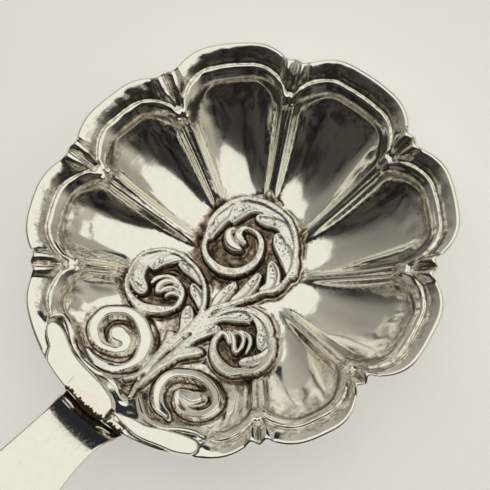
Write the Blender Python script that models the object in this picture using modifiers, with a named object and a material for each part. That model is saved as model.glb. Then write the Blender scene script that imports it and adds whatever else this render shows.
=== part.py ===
"""Silver caddy spoon: a lobed and fluted bowl with chased scrolls, a waisted handle and the solder between them."""
import math

import bmesh
import bpy
import numpy as np

MM = 0.001

# Bowl, all in millimetres and degrees. The front lobe points along +X and the handle along -X.
BOWL_RADIUS = 25.0
RIM_HEIGHT = 9.7
SHEET = 0.65
FLOOR_TOP = 0.5
FLOOR_SHARE = 0.31
FLOOR_INSET = 4.7
BAND_WIDTH = 3.0
BEAD_DROP = 2.1
HEEL_LIP_WIDTH = 3.9
HEEL_DROP = 4.0
HEEL_FULL_ANGLE = 20.0
HEEL_END_ANGLE = 38.0
FLUTE_POWER = 2.2
RIB_POWER = 1.2
HEEL_POWER = 1.5
BAND_POWER = 1.35
LIP_POWER = 4.75
RIB_ANGLE = 18.0

# Notches between the lobes: how far they cut into the edge, and how far the bead runs in at them.
NOTCH_DEPTH = 1.9
NOTCH_INSET = 6.2
NOTCH_TOOTH = 0.32
NOTCH_TOOTH_ANGLE = 1.9
# Each notch: its angle, and by how much its edge and its bead differ from the usual notch, as the hand work does.
NOTCHES = (
    (21.8, 0.1, -0.1),
    (60.9, -0.2, -0.9),
    (96.3, 0.0, -0.2),
    (132.0, 0.3, -0.2),
    (227.0, 0.1, 0.5),
    (261.2, -1.0, -0.1),
    (300.8, -0.1, 0.0),
    (339.8, 0.5, 0.5),
)
# The middle of each lobe: its angle, and by how much its edge differs from the bowl's radius. The heel is at 180.
LOBES = (
    (0.8, 0.35),
    (41.0, -0.05),
    (78.5, -0.7),
    (114.0, -0.25),
    (157.0, -0.15),
    (180.0, -0.1),
    (203.0, -0.1),
    (244.0, -0.35),
    (281.0, 0.1),
    (320.0, 0.75),
)

# Twin ribs that run in from each notch, the twin ridges that cross the band there, and the bead along the lobes.
RIB_HALF_WIDTH = 0.52
RIB_WIDENING = 0.03
RIB_HEIGHT = 0.42
RIDGE_HEIGHT = 0.5
BEAD_HEIGHT = 0.34
BEAD_WIDTH = 0.42

# The plain lip over the handle is raised like a cushion with round ends.
LIP_PAD_HEIGHT = 0.5
LIP_PAD_MARGIN = 0.6
LIP_PAD_ANGLE = 27.0

# Scrolls: centre, outer radius, inner radius, curve of the spiral, start angle, turns, half width, height.
# Their places are measured inwards from the line where the plain lip begins.
MAIN_SCROLL = ((23.0, 2.7), 6.9, 1.5, 1.36, 224.0, 1.78, 0.75, 0.95)
SIDE_SCROLL = ((13.2, 5.95), 5.1, 0.9, 0.91, 288.0, 1.40, 0.70, 0.95)
VOLUTE = ((5.25, 5.8), 3.75, 1.15, 0.80, 170.0, 1.32, 0.85, 1.0)
STEM = ((1.3, 0.45), (4.3, 0.6), (7.1, 0.65), (9.6, 0.55), (12.1, 0.4), (14.7, 1.0))
MAIN_STEM = ((10.1, -0.2), (13.1, 0.0), (15.5, -0.3), (18.05, -2.1))
STEM_HALF_WIDTH = 0.6
STEM_HEIGHT = 0.85
EYE_RADIUS = 1.25
EYE_HEIGHT = 0.95
LEAF_STEP = 46.0
LEAF_REACH = 42.0
LEAF_TIP_SHARE = 0.66
LEAF_HALF_WIDTH = 0.9
LEAF_HEIGHT = 0.85
HOLLOW_SHARE = 0.75
HOLLOW_FROM = 10.0
HOLLOW_FADE = 2.5

# Handle: lengths along it run out from the edge of the heel, and the lap runs in under the heel.
HANDLE_LAP = 2.2
HANDLE_LENGTH = 32.1
HANDLE_SHEET = 0.85
HANDLE_SIDE = 0.35
ROOT_WIDTH = 8.6
WAIST_WIDTH = 7.4
WAIST_AT = 3.9
END_WIDTH = 12.0
END_ROUND = 7.0
JOGGLE = 1.0
JOGGLE_REACH = 1.6
HANDLE_RISE = 4.4
RISE_REACH = 6.0
HANDLE_DROOP = 0.8
HANDLE_CROWN = 0.25
CROWN_FROM = 2.1
CROWN_FULL = 9.1
LAP_FADE = 3.0
HANDLE_EDGE = 0.2

# Solder between the heel of the bowl and the root of the handle.
JOINT_GAP = 0.1
SOLDER_SHEET = 0.2
SOLDER_FILLET = 0.45
SOLDER_TOP_DROP = 0.3
SOLDER_SIDE = 0.35
SOLDER_INSET = 0.2

BOWL_GRID = 116
BOWL_KEEP = 0.205
BASE_BLOCK = 80.0
BASE_DEPTH = 10.0


def clear_scene():
    """Removes whatever the file starts with."""
    for ob in list(bpy.data.objects):
        bpy.data.objects.remove(ob, do_unlink=True)


def collection(name):
    """A collection of this name in the scene."""
    group = bpy.data.collections.new(name)
    bpy.context.scene.collection.children.link(group)
    return group


def metal(name, colour, roughness):
    """A plain metal with one Principled shader."""
    mat = bpy.data.materials.new(name)
    mat.use_nodes = True
    shader = mat.node_tree.nodes["Principled BSDF"]
    shader.inputs["Base Color"].default_value = (*colour, 1.0)
    shader.inputs["Metallic"].default_value = 1.0
    shader.inputs["Roughness"].default_value = roughness
    return mat


def ease(low, high, value):
    """Smooth step from 0 at low to 1 at high."""
    t = np.clip((value - low) / (high - low), 0.0, 1.0)
    return t * t * (3.0 - 2.0 * t)


def notch_at(angle):
    """Degrees to the nearest notch, with its differences at the edge and at the bead."""
    table = np.array(NOTCHES)
    away = np.abs((angle[:, None] - table[:, 0] + 180.0) % 360.0 - 180.0)
    nearest = away.argmin(axis=1)
    return away.min(axis=1), table[nearest, 1], table[nearest, 2]


def lobe_radius(angle):
    """Radius of the edge at an angle, before the notches are cut in."""
    table = np.array(LOBES)
    around = np.concatenate([table[:, 0] - 360.0, table[:, 0], table[:, 0] + 360.0])
    values = np.tile(table[:, 1], 3)
    turned = angle % 360.0
    after = np.clip(np.searchsorted(around, turned), 1, len(around) - 1)
    t = ease(around[after - 1], around[after], turned)
    return BOWL_RADIUS + values[after - 1] + (values[after] - values[after - 1]) * t


def heel_edge():
    """Distance from the middle of the bowl to the edge of the heel over the handle."""
    return lobe_radius(np.array([180.0]))[0]


def heel_line():
    """Distance from the middle of the bowl to the inner line of the plain lip."""
    return BOWL_RADIUS - HEEL_LIP_WIDTH


def heel_amount(angle):
    """1 at the heel over the handle, falling to 0 where the plain lip ends."""
    return 1.0 - ease(HEEL_FULL_ANGLE, HEEL_END_ANGLE, np.abs(angle % 360.0 - 180.0))


def arch(away, low, high, power):
    """Round arch from 0 in the notch to 1 at the middle of a lobe."""
    t = np.clip((away - low) / (high - low), 0.0, 1.0)
    soft = t * t * 1.07 / (t + 0.07)
    return 1.0 - (1.0 - soft) ** power


def contours(angle):
    """Radius of the edge and of the bead at each angle, degrees to the nearest notch, and the heel amount."""
    away, edge_off, bead_off = notch_at(angle)
    heel = heel_amount(angle)
    lobe = lobe_radius(angle)
    notch_edge = BOWL_RADIUS - NOTCH_DEPTH + edge_off
    notch_bead = BOWL_RADIUS - NOTCH_INSET + bead_off
    tooth = NOTCH_TOOTH * np.cos(math.pi * np.clip(away / NOTCH_TOOTH_ANGLE, 0.0, 1.0) / 2.0) ** 2
    edge = notch_edge + (lobe - notch_edge) * arch(away, 2.0, 15.0, 2.4) + tooth
    bead_lobe = (lobe - BAND_WIDTH) * (1.0 - heel) + heel_line() * heel
    bead = notch_bead + (bead_lobe - notch_bead) * arch(away, 1.4, 15.0, 3.0)
    return edge, bead, away, heel


def bowl_surface(share, angle):
    """Inside face of the bowl: radius and height. share runs 0 to 1 out to the bead and on to 2 at the edge."""
    edge, bead, away, heel = contours(angle)
    inner = np.minimum(share, 1.0)
    outer = np.clip(share - 1.0, 0.0, 1.0)
    floor_run = BOWL_RADIUS - FLOOR_INSET
    radius = inner * (floor_run + (bead - floor_run) * inner ** 2) + (edge - bead) * outer
    drop = BEAD_DROP * (1.0 - heel) + HEEL_DROP * heel
    bead_z = RIM_HEIGHT - drop
    from_rib = np.clip(1.0 - away / RIB_ANGLE, 0.0, 1.0)
    power = FLUTE_POWER - (FLUTE_POWER - RIB_POWER) * from_rib ** 2
    power = power * (1.0 - heel) + HEEL_POWER * heel
    flare = BAND_POWER + (LIP_POWER - BAND_POWER) * heel
    climb = np.clip((inner - FLOOR_SHARE) / (1.0 - FLOOR_SHARE), 0.0, 1.0) ** power
    height = FLOOR_TOP + (bead_z - FLOOR_TOP) * climb + drop * (1.0 - (1.0 - outer) ** flare)
    return radius, height


def bowl_detail(share, angle, radius):
    """Height that the bead, the twin ribs and the twin ridges add to the inside face."""
    edge, bead, away, heel = contours(angle)
    plain = 1.0 - ease(0.05, 0.35, heel)
    across = np.radians(away) * radius / (RIB_HALF_WIDTH + RIB_WIDENING * radius)
    twin = np.where(across < 1.0, np.sin(math.pi * across) ** 2, 0.0)
    ribs = RIB_HEIGHT * twin * ease(0.38, 0.7, share) * (1.0 - ease(0.94, 1.0, share))
    ridges = RIDGE_HEIGHT * twin * ease(1.1, 1.32, share) * plain
    past = np.where(share < 1.0, (share - 1.0) * bead, (share - 1.0) * (edge - bead))
    bead_line = BEAD_HEIGHT * np.exp(-((past / BEAD_WIDTH) ** 2)) * plain
    return ribs + ridges + bead_line


def lip_pad(x, y):
    """Height of the raised lip over the handle: a cushion that follows the heel and has round ends."""
    half = (HEEL_LIP_WIDTH - LIP_PAD_MARGIN) / 2.0
    middle = heel_line() + LIP_PAD_MARGIN + half
    turn = np.radians(np.linspace(180.0 - LIP_PAD_ANGLE, 180.0 + LIP_PAD_ANGLE, 41))
    path = np.stack([middle * np.cos(turn), middle * np.sin(turn)], axis=1)
    gap = np.hypot(x[:, None] - path[:, 0], y[:, None] - path[:, 1]).min(axis=1)
    return LIP_PAD_HEIGHT * np.clip(1.0 - (gap / half) ** 4, 0.0, 1.0) ** 0.5


def smooth_path(points, steps):
    """Points along a smooth curve through the given ones."""
    table = np.array(points, dtype=float)
    ends = np.vstack([2 * table[0] - table[1], table, 2 * table[-1] - table[-2]])
    out = []
    for i in range(len(table) - 1):
        a, b, c, d = ends[i : i + 4]
        for t in np.arange(steps) / steps:
            bend = (2 * a - 5 * b + 4 * c - d) * t ** 2 + (3 * b - a - 3 * c + d) * t ** 3
            out.append(0.5 * (2 * b + (c - a) * t + bend))
    out.append(table[-1])
    return np.array(out)


def spiral(scroll, hand, steps=44):
    """Middle line of a scroll. hand -1 mirrors it across the X axis."""
    centre, outer, inner, power, start, turns = scroll[:6]
    t = np.linspace(0.0, 1.0, steps)
    radius = inner + (outer - inner) * (1.0 - t) ** power
    angle = np.radians(start + 360.0 * turns * t)
    x = centre[0] + radius * np.cos(angle)
    y = centre[1] + radius * np.sin(angle)
    return np.stack([x, hand * y], axis=1)


def leaflet(scroll, hand, root_angle):
    """Middle line of one leaf that leaves a scroll at root_angle past its start and curls inside it."""
    centre, outer, inner, power, start, turns = scroll[:6]
    points = []
    for t in np.linspace(0.0, 1.0, 7):
        turned = root_angle + LEAF_REACH * t
        along = min(1.0, max(0.0, turned / (360.0 * turns)))
        radius = (inner + (outer - inner) * (1.0 - along) ** power) * (1.0 - (1.0 - LEAF_TIP_SHARE) * t ** 1.3)
        angle = math.radians(start + turned)
        points.append((centre[0] + radius * math.cos(angle), hand * (centre[1] + radius * math.sin(angle))))
    return np.array(points)


def strokes():
    """Every raised line of the ornament: its path, half widths and heights along it."""
    found = []
    scrolls = ((MAIN_SCROLL, 1, 6, -10.0), (SIDE_SCROLL, 1, 5, -20.0), (SIDE_SCROLL, -1, 5, -20.0))
    for scroll, hand, leaves, skip in scrolls:
        path = spiral(scroll, hand)
        taper = np.linspace(1.0, 0.8, len(path))
        found.append((path, scroll[6] * taper, scroll[7] * np.ones(len(path))))
        for k in range(leaves):
            line = leaflet(scroll, hand, skip + k * LEAF_STEP)
            swell = np.array([0.35, 0.6, 0.85, 1.0, 1.0, 0.9, 0.6])
            found.append((line, LEAF_HALF_WIDTH * swell, LEAF_HEIGHT * np.ones(len(line))))
    for hand in (1, -1):
        path = spiral(VOLUTE, hand)
        swell = ease(0.0, 0.25, np.linspace(0.0, 1.0, len(path))) * 0.65 + 0.35
        found.append((path, VOLUTE[6] * swell, VOLUTE[7] * np.ones(len(path))))
        stem = smooth_path(STEM, 5) * np.array([1.0, hand])
        found.append((stem, STEM_HALF_WIDTH * np.ones(len(stem)), STEM_HEIGHT * np.ones(len(stem))))
    stem = smooth_path(MAIN_STEM, 5)
    found.append((stem, STEM_HALF_WIDTH * np.ones(len(stem)), STEM_HEIGHT * np.ones(len(stem))))
    eyes = ((MAIN_SCROLL, 1), (SIDE_SCROLL, 1), (SIDE_SCROLL, -1), (VOLUTE, 1), (VOLUTE, -1))
    for scroll, hand in eyes:
        centre = scroll[0]
        dot = np.array([(centre[0] - 0.1, hand * centre[1]), (centre[0] + 0.1, hand * centre[1])])
        found.append((dot, EYE_RADIUS * np.ones(2), EYE_HEIGHT * np.ones(2)))
    start = np.array([-heel_line(), 0.0])
    return [(path + start, width, rise) for path, width, rise in found]


def relief(x, y):
    """Height of the scroll ornament over the inside face at each point."""
    height = np.zeros(len(x))
    for path, width, rise in strokes():
        reach = width.max()
        low = path.min(axis=0) - reach
        high = path.max(axis=0) + reach
        near = np.nonzero((x > low[0]) & (x < high[0]) & (y > low[1]) & (y < high[1]))[0]
        for i in range(len(path) - 1):
            step = path[i + 1] - path[i]
            length = max(step @ step, 1e-9)
            t = np.clip(((x[near] - path[i, 0]) * step[0] + (y[near] - path[i, 1]) * step[1]) / length, 0.0, 1.0)
            gap = np.hypot(x[near] - path[i, 0] - t * step[0], y[near] - path[i, 1] - t * step[1])
            half = width[i] + t * (width[i + 1] - width[i])
            top = rise[i] + t * (rise[i + 1] - rise[i])
            bump = top * np.clip(1.0 - (gap / half) ** 2, 0.0, 1.0) ** 0.6
            height[near] = np.maximum(height[near], bump)
    return height


def coordinates(verts):
    """Positions of these vertices in millimetres."""
    return np.array([v.co[:] for v in verts]) / MM


def place(verts, table):
    """Moves these vertices to positions in millimetres."""
    for v, co in zip(verts, table * MM):
        v.co = co


def thicken(mesh, sheet, least_normal):
    """Extrudes an open sheet down to its back face and keeps its thickness on slopes. Returns both faces' vertices."""
    mesh.normal_update()
    wall = mesh.verts.layers.float.new("wall")
    for v, least in zip(mesh.verts, least_normal):
        v[wall] = sheet / max(abs(v.normal.z), least)
    front = list(mesh.verts)
    grown = bmesh.ops.extrude_face_region(mesh, geom=mesh.faces[:])
    back = [g for g in grown["geom"] if isinstance(g, bmesh.types.BMVert)]
    for v in back:
        v.co.z -= v[wall] * MM
    return front, back


def solid(mesh, name, group, mat):
    """Turns a closed bmesh into a named object with outward faces."""
    bmesh.ops.recalc_face_normals(mesh, faces=mesh.faces[:])
    data = bpy.data.meshes.new(name)
    mesh.to_mesh(data)
    mesh.free()
    data.materials.append(mat)
    ob = bpy.data.objects.new(name, data)
    group.objects.link(ob)
    return ob


def disc_position(x, y):
    """Maps a square grid of half size 1 to a disc, rings to rings: share of the radius and angle."""
    share = np.maximum(np.abs(x), np.abs(y))
    safe = np.where(share > 0.0, share, 1.0)
    east = np.abs(x) >= np.abs(y)
    angle = np.where(x >= 0.0, 45.0 * y / safe, 180.0 - 45.0 * y / safe)
    angle = np.where(~east & (y >= 0.0), 90.0 - 45.0 * x / safe, angle)
    angle = np.where(~east & (y < 0.0), 270.0 + 45.0 * x / safe, angle)
    return share, angle


def build_bowl(group, cutters, mat):
    """The bowl: a disc of sheet raised to its lobes, with the ornament standing on the inside."""
    mesh = bmesh.new()
    bmesh.ops.create_grid(mesh, x_segments=BOWL_GRID, y_segments=BOWL_GRID, size=1.0)
    verts = list(mesh.verts)
    flat = np.array([v.co[:] for v in verts])
    ring, angle = disc_position(flat[:, 0], flat[:, 1])
    # A fifth of the rings lie in the flared band outside the bead.
    share = np.where(ring < 0.8, ring / 0.8, 1.0 + (ring - 0.8) / 0.2)
    radius, height = bowl_surface(share, angle)
    turn = np.radians(angle)
    plain = np.stack([radius * np.cos(turn), radius * np.sin(turn), height], axis=1)
    place(verts, plain)
    front, back = thicken(mesh, SHEET, 0.55 - 0.2 * heel_amount(angle))
    raised = relief(plain[:, 0], plain[:, 1]) + lip_pad(plain[:, 0], plain[:, 1])
    plain[:, 2] += bowl_detail(share, angle, radius) + raised
    place(front, plain)
    under = coordinates(back)
    out = np.hypot(under[:, 0], under[:, 1])
    hollow = HOLLOW_SHARE * relief(under[:, 0], under[:, 1]) * ease(HOLLOW_FROM, HOLLOW_FROM + HOLLOW_FADE, out)
    under[:, 2] += hollow
    place(back, under)
    bowl = solid(mesh, "bowl", group, mat)
    thin = bowl.modifiers.new("Even out faces", "DECIMATE")
    thin.ratio = BOWL_KEEP
    thin.use_collapse_triangulate = True
    bpy.ops.mesh.primitive_cube_add(size=1.0, location=(0.0, 0.0, -BASE_DEPTH / 2.0 * MM))
    block = bpy.context.object
    block.name = "base_plane"
    block.scale = (BASE_BLOCK * MM, BASE_BLOCK * MM, BASE_DEPTH * MM)
    for old in list(block.users_collection):
        old.objects.unlink(block)
    cutters.objects.link(block)
    block.hide_render = True
    block.display_type = "WIRE"
    cut = bowl.modifiers.new("Flat to rest on", "BOOLEAN")
    cut.operation = "DIFFERENCE"
    cut.solver = "EXACT"
    cut.object = block
    return bowl


def share_at(radius, angle):
    """Share along the inside face at which it reaches a radius."""
    low = np.zeros_like(radius)
    high = np.full_like(radius, 2.0)
    for _ in range(32):
        middle = (low + high) / 2.0
        short = bowl_surface(middle, angle)[0] < radius
        low = np.where(short, middle, low)
        high = np.where(short, high, middle)
    return (low + high) / 2.0


def heel_back(radius, angle):
    """Height of the back of the bowl at a radius near the heel."""
    share = share_at(radius, angle)
    step = 0.01
    r0, z0 = bowl_surface(share - step, angle)
    r1, z1 = bowl_surface(np.minimum(share + step, 2.0), angle)
    slope = (z1 - z0) / np.maximum(r1 - r0, 1e-6)
    return bowl_surface(share, angle)[1] - SHEET * np.sqrt(1.0 + slope ** 2)


def heel_angle(radius, y):
    """Angle round the bowl of a point on the handle."""
    return 180.0 - np.degrees(np.arcsin(np.clip(y / radius, -1.0, 1.0)))


def handle_top(radius, y):
    """Height of the handle's upper face: down the back of the heel at its root, then up and out almost level."""
    edge = heel_edge()
    under = np.minimum(radius, edge)
    joint = 2.0 * JOINT_GAP + SOLDER_SHEET
    lap = heel_back(under, heel_angle(radius, y)) - joint
    middle = heel_back(under, np.full_like(radius, 180.0)) - joint
    past = np.maximum(radius - edge, 0.0)
    step_up = JOGGLE * (1.0 - np.exp(-past / JOGGLE_REACH))
    lift = HANDLE_RISE * (1.0 - np.exp(-past / RISE_REACH))
    fall = HANDLE_DROOP * (past / HANDLE_LENGTH) ** 3
    return middle + (lap - middle) * np.exp(-past / LAP_FADE) + step_up + lift - fall


def handle_width(past):
    """Full width of the handle at a distance past the heel: waisted near the root, wide and round at the end."""
    near = WAIST_WIDTH + (ROOT_WIDTH - WAIST_WIDTH) * (1.0 - ease(-HANDLE_LAP / 3.0, WAIST_AT, past))
    round_from = HANDLE_LENGTH - END_ROUND
    wide = near + (END_WIDTH - near) * ease(WAIST_AT, round_from, past)
    t = np.clip((past - round_from) / END_ROUND, 0.0, 1.0)
    return wide * np.sqrt(1.0 - t ** 2.2)


def build_handle(group, mat):
    """The handle: one strip of sheet, lapped under the heel, waisted and rounded."""
    mesh = bmesh.new()
    bmesh.ops.create_grid(mesh, x_segments=46, y_segments=10, size=1.0)
    verts = list(mesh.verts)
    flat = np.array([v.co[:] for v in verts])
    t = (flat[:, 0] + 1.0) / 2.0
    # A third of the rows lie in the lap and the rise out of it, and they crowd again at the round end.
    root = np.clip(t / 0.33, 0.0, 1.0)
    rest = np.sin(np.clip((t - 0.33) / 0.67, 0.0, 1.0) * 1.5) / math.sin(1.5)
    bend = HANDLE_LAP + JOGGLE_REACH + 1.0
    past = -HANDLE_LAP + bend * root + (HANDLE_LENGTH * 0.998 + HANDLE_LAP - bend) * rest
    y = HANDLE_SIDE + flat[:, 1] * handle_width(past) / 2.0
    radius = heel_edge() + past
    x = -np.sqrt(radius ** 2 - y ** 2)
    crown = HANDLE_CROWN * ease(CROWN_FROM, CROWN_FULL, past) * (2.0 * (y - HANDLE_SIDE) / END_WIDTH) ** 2
    z = handle_top(radius, y) - crown
    place(verts, np.stack([x, y, z], axis=1))
    thicken(mesh, HANDLE_SHEET, np.full(len(verts), 0.6))
    handle = solid(mesh, "handle", group, mat)
    soft = handle.modifiers.new("Soft edges", "BEVEL")
    soft.width = HANDLE_EDGE * MM
    soft.segments = 2
    soft.limit_method = "ANGLE"
    soft.angle_limit = math.radians(50.0)
    return handle


def build_solder(group, mat):
    """The solder: a thin layer between heel and handle that swells to a fillet along the edge of the lip."""
    mesh = bmesh.new()
    across = np.linspace(-1.0, 1.0, 13)
    y = HANDLE_SIDE + across * (ROOT_WIDTH / 2.0 - SOLDER_SIDE)
    edge = lobe_radius(heel_angle(np.full_like(y, heel_edge()), y))
    first = np.full_like(y, heel_edge() - HANDLE_LAP + SOLDER_INSET)
    wall = edge + JOINT_GAP
    tip = wall + SOLDER_FILLET * (1.0 - 0.25 * across ** 2)
    section = []
    for t in np.linspace(0.0, 1.0, 7):
        r = first + t * (edge - 0.05 - first)
        section.append((r, heel_back(r, heel_angle(r, y)) - JOINT_GAP))
    section.append((wall, heel_back(edge, heel_angle(edge, y)) - JOINT_GAP))
    section.append((wall, np.full_like(y, RIM_HEIGHT - SOLDER_TOP_DROP)))
    for t in np.linspace(0.0, 1.0, 9):
        r = tip + t * (first - tip)
        section.append((r, handle_top(r, y) + JOINT_GAP))
    rings = []
    for i in range(len(y)):
        spots = [(-math.sqrt(r[i] ** 2 - y[i] ** 2) * MM, y[i] * MM, z[i] * MM) for r, z in section]
        rings.append([mesh.verts.new(spot) for spot in spots])
    for one, two in zip(rings[:-1], rings[1:]):
        for i in range(len(one)):
            j = (i + 1) % len(one)
            mesh.faces.new((one[i], one[j], two[j], two[i]))
    mesh.faces.new(rings[0])
    mesh.faces.new(rings[-1])
    bmesh.ops.triangulate(mesh, faces=mesh.faces[:])
    return solid(mesh, "solder_seam", group, mat)


def main():
    """Builds the three pieces in their places."""
    clear_scene()
    parts = collection("caddy_spoon")
    cutters = collection("cutters")
    build_bowl(parts, cutters, metal("bowl_silver", (0.92, 0.91, 0.87), 0.14))
    build_handle(parts, metal("handle_silver", (0.92, 0.91, 0.87), 0.12))
    build_solder(parts, metal("solder_silver", (0.78, 0.76, 0.71), 0.32))


main()
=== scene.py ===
"""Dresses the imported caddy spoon: its chased silver bowl, plain handle and solder, on a plain stage."""

import math
from types import SimpleNamespace

import bmesh
import bpy
import numpy as np
from bpy.props import FloatProperty, FloatVectorProperty, IntProperty, PointerProperty
from mathutils import Matrix, Vector, noise


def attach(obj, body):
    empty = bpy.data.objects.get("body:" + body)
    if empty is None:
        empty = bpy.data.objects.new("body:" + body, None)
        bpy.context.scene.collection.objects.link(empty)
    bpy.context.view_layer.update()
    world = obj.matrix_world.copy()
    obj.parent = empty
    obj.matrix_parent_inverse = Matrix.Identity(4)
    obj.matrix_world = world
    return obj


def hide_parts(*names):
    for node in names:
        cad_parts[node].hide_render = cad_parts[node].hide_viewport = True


bl_info = {
    "name": "Silver caddy spoon",
    "version": (1, 0, 0),
    "blender": (4, 5, 0),
    "location": "View3D > Sidebar > Caddy spoon",
    "description": "Builds the bowl, handle and solder of a silver caddy spoon with a plain studio stage",
    "category": "Object",
}

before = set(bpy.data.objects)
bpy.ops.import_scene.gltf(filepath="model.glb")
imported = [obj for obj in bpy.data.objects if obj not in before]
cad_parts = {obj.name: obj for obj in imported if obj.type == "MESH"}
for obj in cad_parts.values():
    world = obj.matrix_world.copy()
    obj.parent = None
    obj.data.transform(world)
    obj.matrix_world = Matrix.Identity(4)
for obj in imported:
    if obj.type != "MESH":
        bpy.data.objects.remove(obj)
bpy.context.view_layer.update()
MM = 0.001

# Each notch between two lobes: its angle, and how far its edge and its bead lie out of the usual ones.
NOTCHES = (
    (21.8, 0.1, -0.1),
    (60.9, -0.2, -0.9),
    (96.3, 0.0, -0.2),
    (132.0, 0.3, -0.2),
    (227.0, 0.1, 0.5),
    (261.2, -1.0, -0.1),
    (300.8, -0.1, 0.0),
    (339.8, 0.5, 0.5),
)
# The middle of each lobe: its angle, and how far its edge lies out of the radius. The heel is at 180.
LOBES = (
    (0.8, 0.35),
    (41.0, -0.05),
    (78.5, -0.7),
    (114.0, -0.25),
    (157.0, -0.15),
    (180.0, -0.1),
    (203.0, -0.1),
    (244.0, -0.35),
    (281.0, 0.1),
    (320.0, 0.75),
)

# Chased ornament, in millimetres: the kind of each raised line and the points of its middle, each with its
# place from the middle of the bowl and half the line's width.
MAIN_SCROLL = (
    ("band", ((-9.6, 0.0, 0.5), (-7.6, 0.1, 0.5), (-6.2, 0.0, 0.45), (-5.3, -0.6, 0.41),
        (-3.8, -1.7, 0.36), (-2.0, -2.9, 0.33), (-0.9, -3.5, 0.31), (0.0, -4.4, 0.31),
        (1.6, -4.6, 0.31), (3.0, -4.4, 0.33), (4.2, -3.9, 0.33), (5.3, -3.2, 0.33), (6.2, -2.4, 0.33),
        (7.1, -1.2, 0.33), (7.7, 0.1, 0.33), (7.7, 1.8, 0.33), (7.4, 3.7, 0.33), (6.5, 5.5, 0.33),
        (5.0, 6.6, 0.34), (3.1, 7.1, 0.34), (1.5, 7.0, 0.33))),
    ("band", ((0.6, 6.5, 0.25), (-0.2, 6.1, 0.33), (-0.9, 5.7, 0.36), (-1.6, 4.8, 0.44),
        (-1.9, 3.5, 0.54), (-1.8, 2.1, 0.62), (-1.1, 0.8, 0.59), (0.0, 0.0, 0.54), (1.4, -0.3, 0.49),
        (2.6, 0.0, 0.46), (3.6, 0.7, 0.39), (4.1, 1.7, 0.31), (4.0, 2.7, 0.28), (3.6, 3.4, 0.36),
        (2.9, 3.5, 0.51), (2.5, 3.1, 0.51), (2.3, 2.2, 0.33))),
    ("round", ((2.9, 4.3, 0.33), (2.2, 4.5, 0.54), (1.5, 3.9, 0.77), (1.3, 3.0, 0.75),
        (1.4, 2.1, 0.37))),
    ("leaf", ((-5.7, 0.1, 0.39), (-4.4, 0.1, 0.62), (-3.3, 0.0, 0.54), (-2.3, -0.1, 0.3))),
    ("leaf", ((-3.8, -1.3, 0.37), (-2.4, -1.7, 0.56), (-1.2, -1.8, 0.64), (0.1, -1.7, 0.43))),
    ("leaf", ((-0.8, -3.2, 0.37), (0.1, -3.6, 0.62), (1.0, -3.3, 0.78), (1.7, -2.7, 0.72),
        (2.2, -2.1, 0.45))),
    ("leaf", ((2.7, -4.6, 0.53), (3.6, -3.7, 0.86), (4.3, -2.6, 1.0), (4.9, -1.4, 0.97),
        (5.2, -0.6, 0.57))),
    ("leaf", ((5.8, -2.0, 0.66), (6.6, -0.7, 0.82), (6.6, 0.5, 0.75), (6.1, 1.7, 0.69),
        (5.7, 2.7, 0.45))),
    ("leaf", ((7.6, 1.3, 0.49), (7.2, 2.9, 0.78), (6.4, 4.4, 0.86), (5.1, 5.1, 0.9), (3.8, 5.2, 0.51))),
    ("leaf", ((4.8, 5.8, 0.66), (2.8, 6.3, 0.75), (1.4, 6.3, 0.72), (0.5, 6.0, 0.41))),
)
UPPER_SCROLL = (
    ("band", ((-10.6, 0.4, 0.43), (-9.3, 0.5, 0.37), (-7.9, 0.6, 0.33), (-6.6, 1.0, 0.31),
        (-5.6, 1.6, 0.31), (-4.6, 2.5, 0.31), (-3.9, 3.6, 0.31), (-3.4, 5.1, 0.31), (-3.3, 6.6, 0.31),
        (-3.5, 7.9, 0.31), (-4.1, 9.0, 0.31), (-5.0, 9.9, 0.28), (-6.2, 10.5, 0.26))),
    ("band", ((-9.3, 9.8, 0.21), (-10.0, 9.4, 0.26), (-10.7, 8.7, 0.34), (-11.1, 7.4, 0.51),
        (-11.0, 6.1, 0.65), (-10.3, 4.9, 0.69), (-9.6, 4.1, 0.51), (-8.8, 3.5, 0.31), (-7.9, 3.5, 0.34),
        (-6.9, 3.9, 0.31), (-6.3, 4.7, 0.28), (-6.0, 5.6, 0.24), (-6.2, 6.4, 0.23), (-6.7, 7.0, 0.21),
        (-7.5, 7.4, 0.26), (-8.1, 7.4, 0.18))),
    ("round", ((-6.3, 5.0, 0.28), (-6.5, 5.9, 0.37), (-7.1, 6.5, 0.43), (-7.9, 6.6, 0.45),
        (-8.5, 6.3, 0.35))),
    ("round", ((-6.8, 4.4, 0.28), (-7.0, 5.3, 0.31), (-7.6, 5.8, 0.35), (-8.3, 6.0, 0.3))),
    ("round", ((-7.3, 3.8, 0.26), (-7.4, 4.7, 0.4), (-7.9, 5.1, 0.34), (-8.4, 5.2, 0.18))),
    ("leaf", ((-10.1, 0.8, 0.5), (-9.2, 1.3, 0.65), (-8.4, 1.8, 0.65), (-7.8, 2.2, 0.37))),
    ("leaf", ((-6.6, 1.3, 0.43), (-6.1, 2.0, 0.61), (-5.7, 2.9, 0.62), (-5.4, 3.5, 0.39))),
    ("leaf", ((-4.3, 3.3, 0.43), (-4.0, 4.6, 0.65), (-4.1, 5.5, 0.62), (-4.2, 6.4, 0.34))),
    ("leaf", ((-3.4, 7.0, 0.43), (-4.3, 7.8, 0.61), (-5.3, 8.5, 0.69), (-6.4, 8.6, 0.44))),
    ("leaf", ((-4.7, 9.2, 0.43), (-6.2, 9.9, 0.71), (-7.8, 9.6, 0.85), (-8.8, 9.0, 0.86),
        (-9.3, 8.1, 0.78), (-9.5, 7.7, 0.51))),
)
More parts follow.
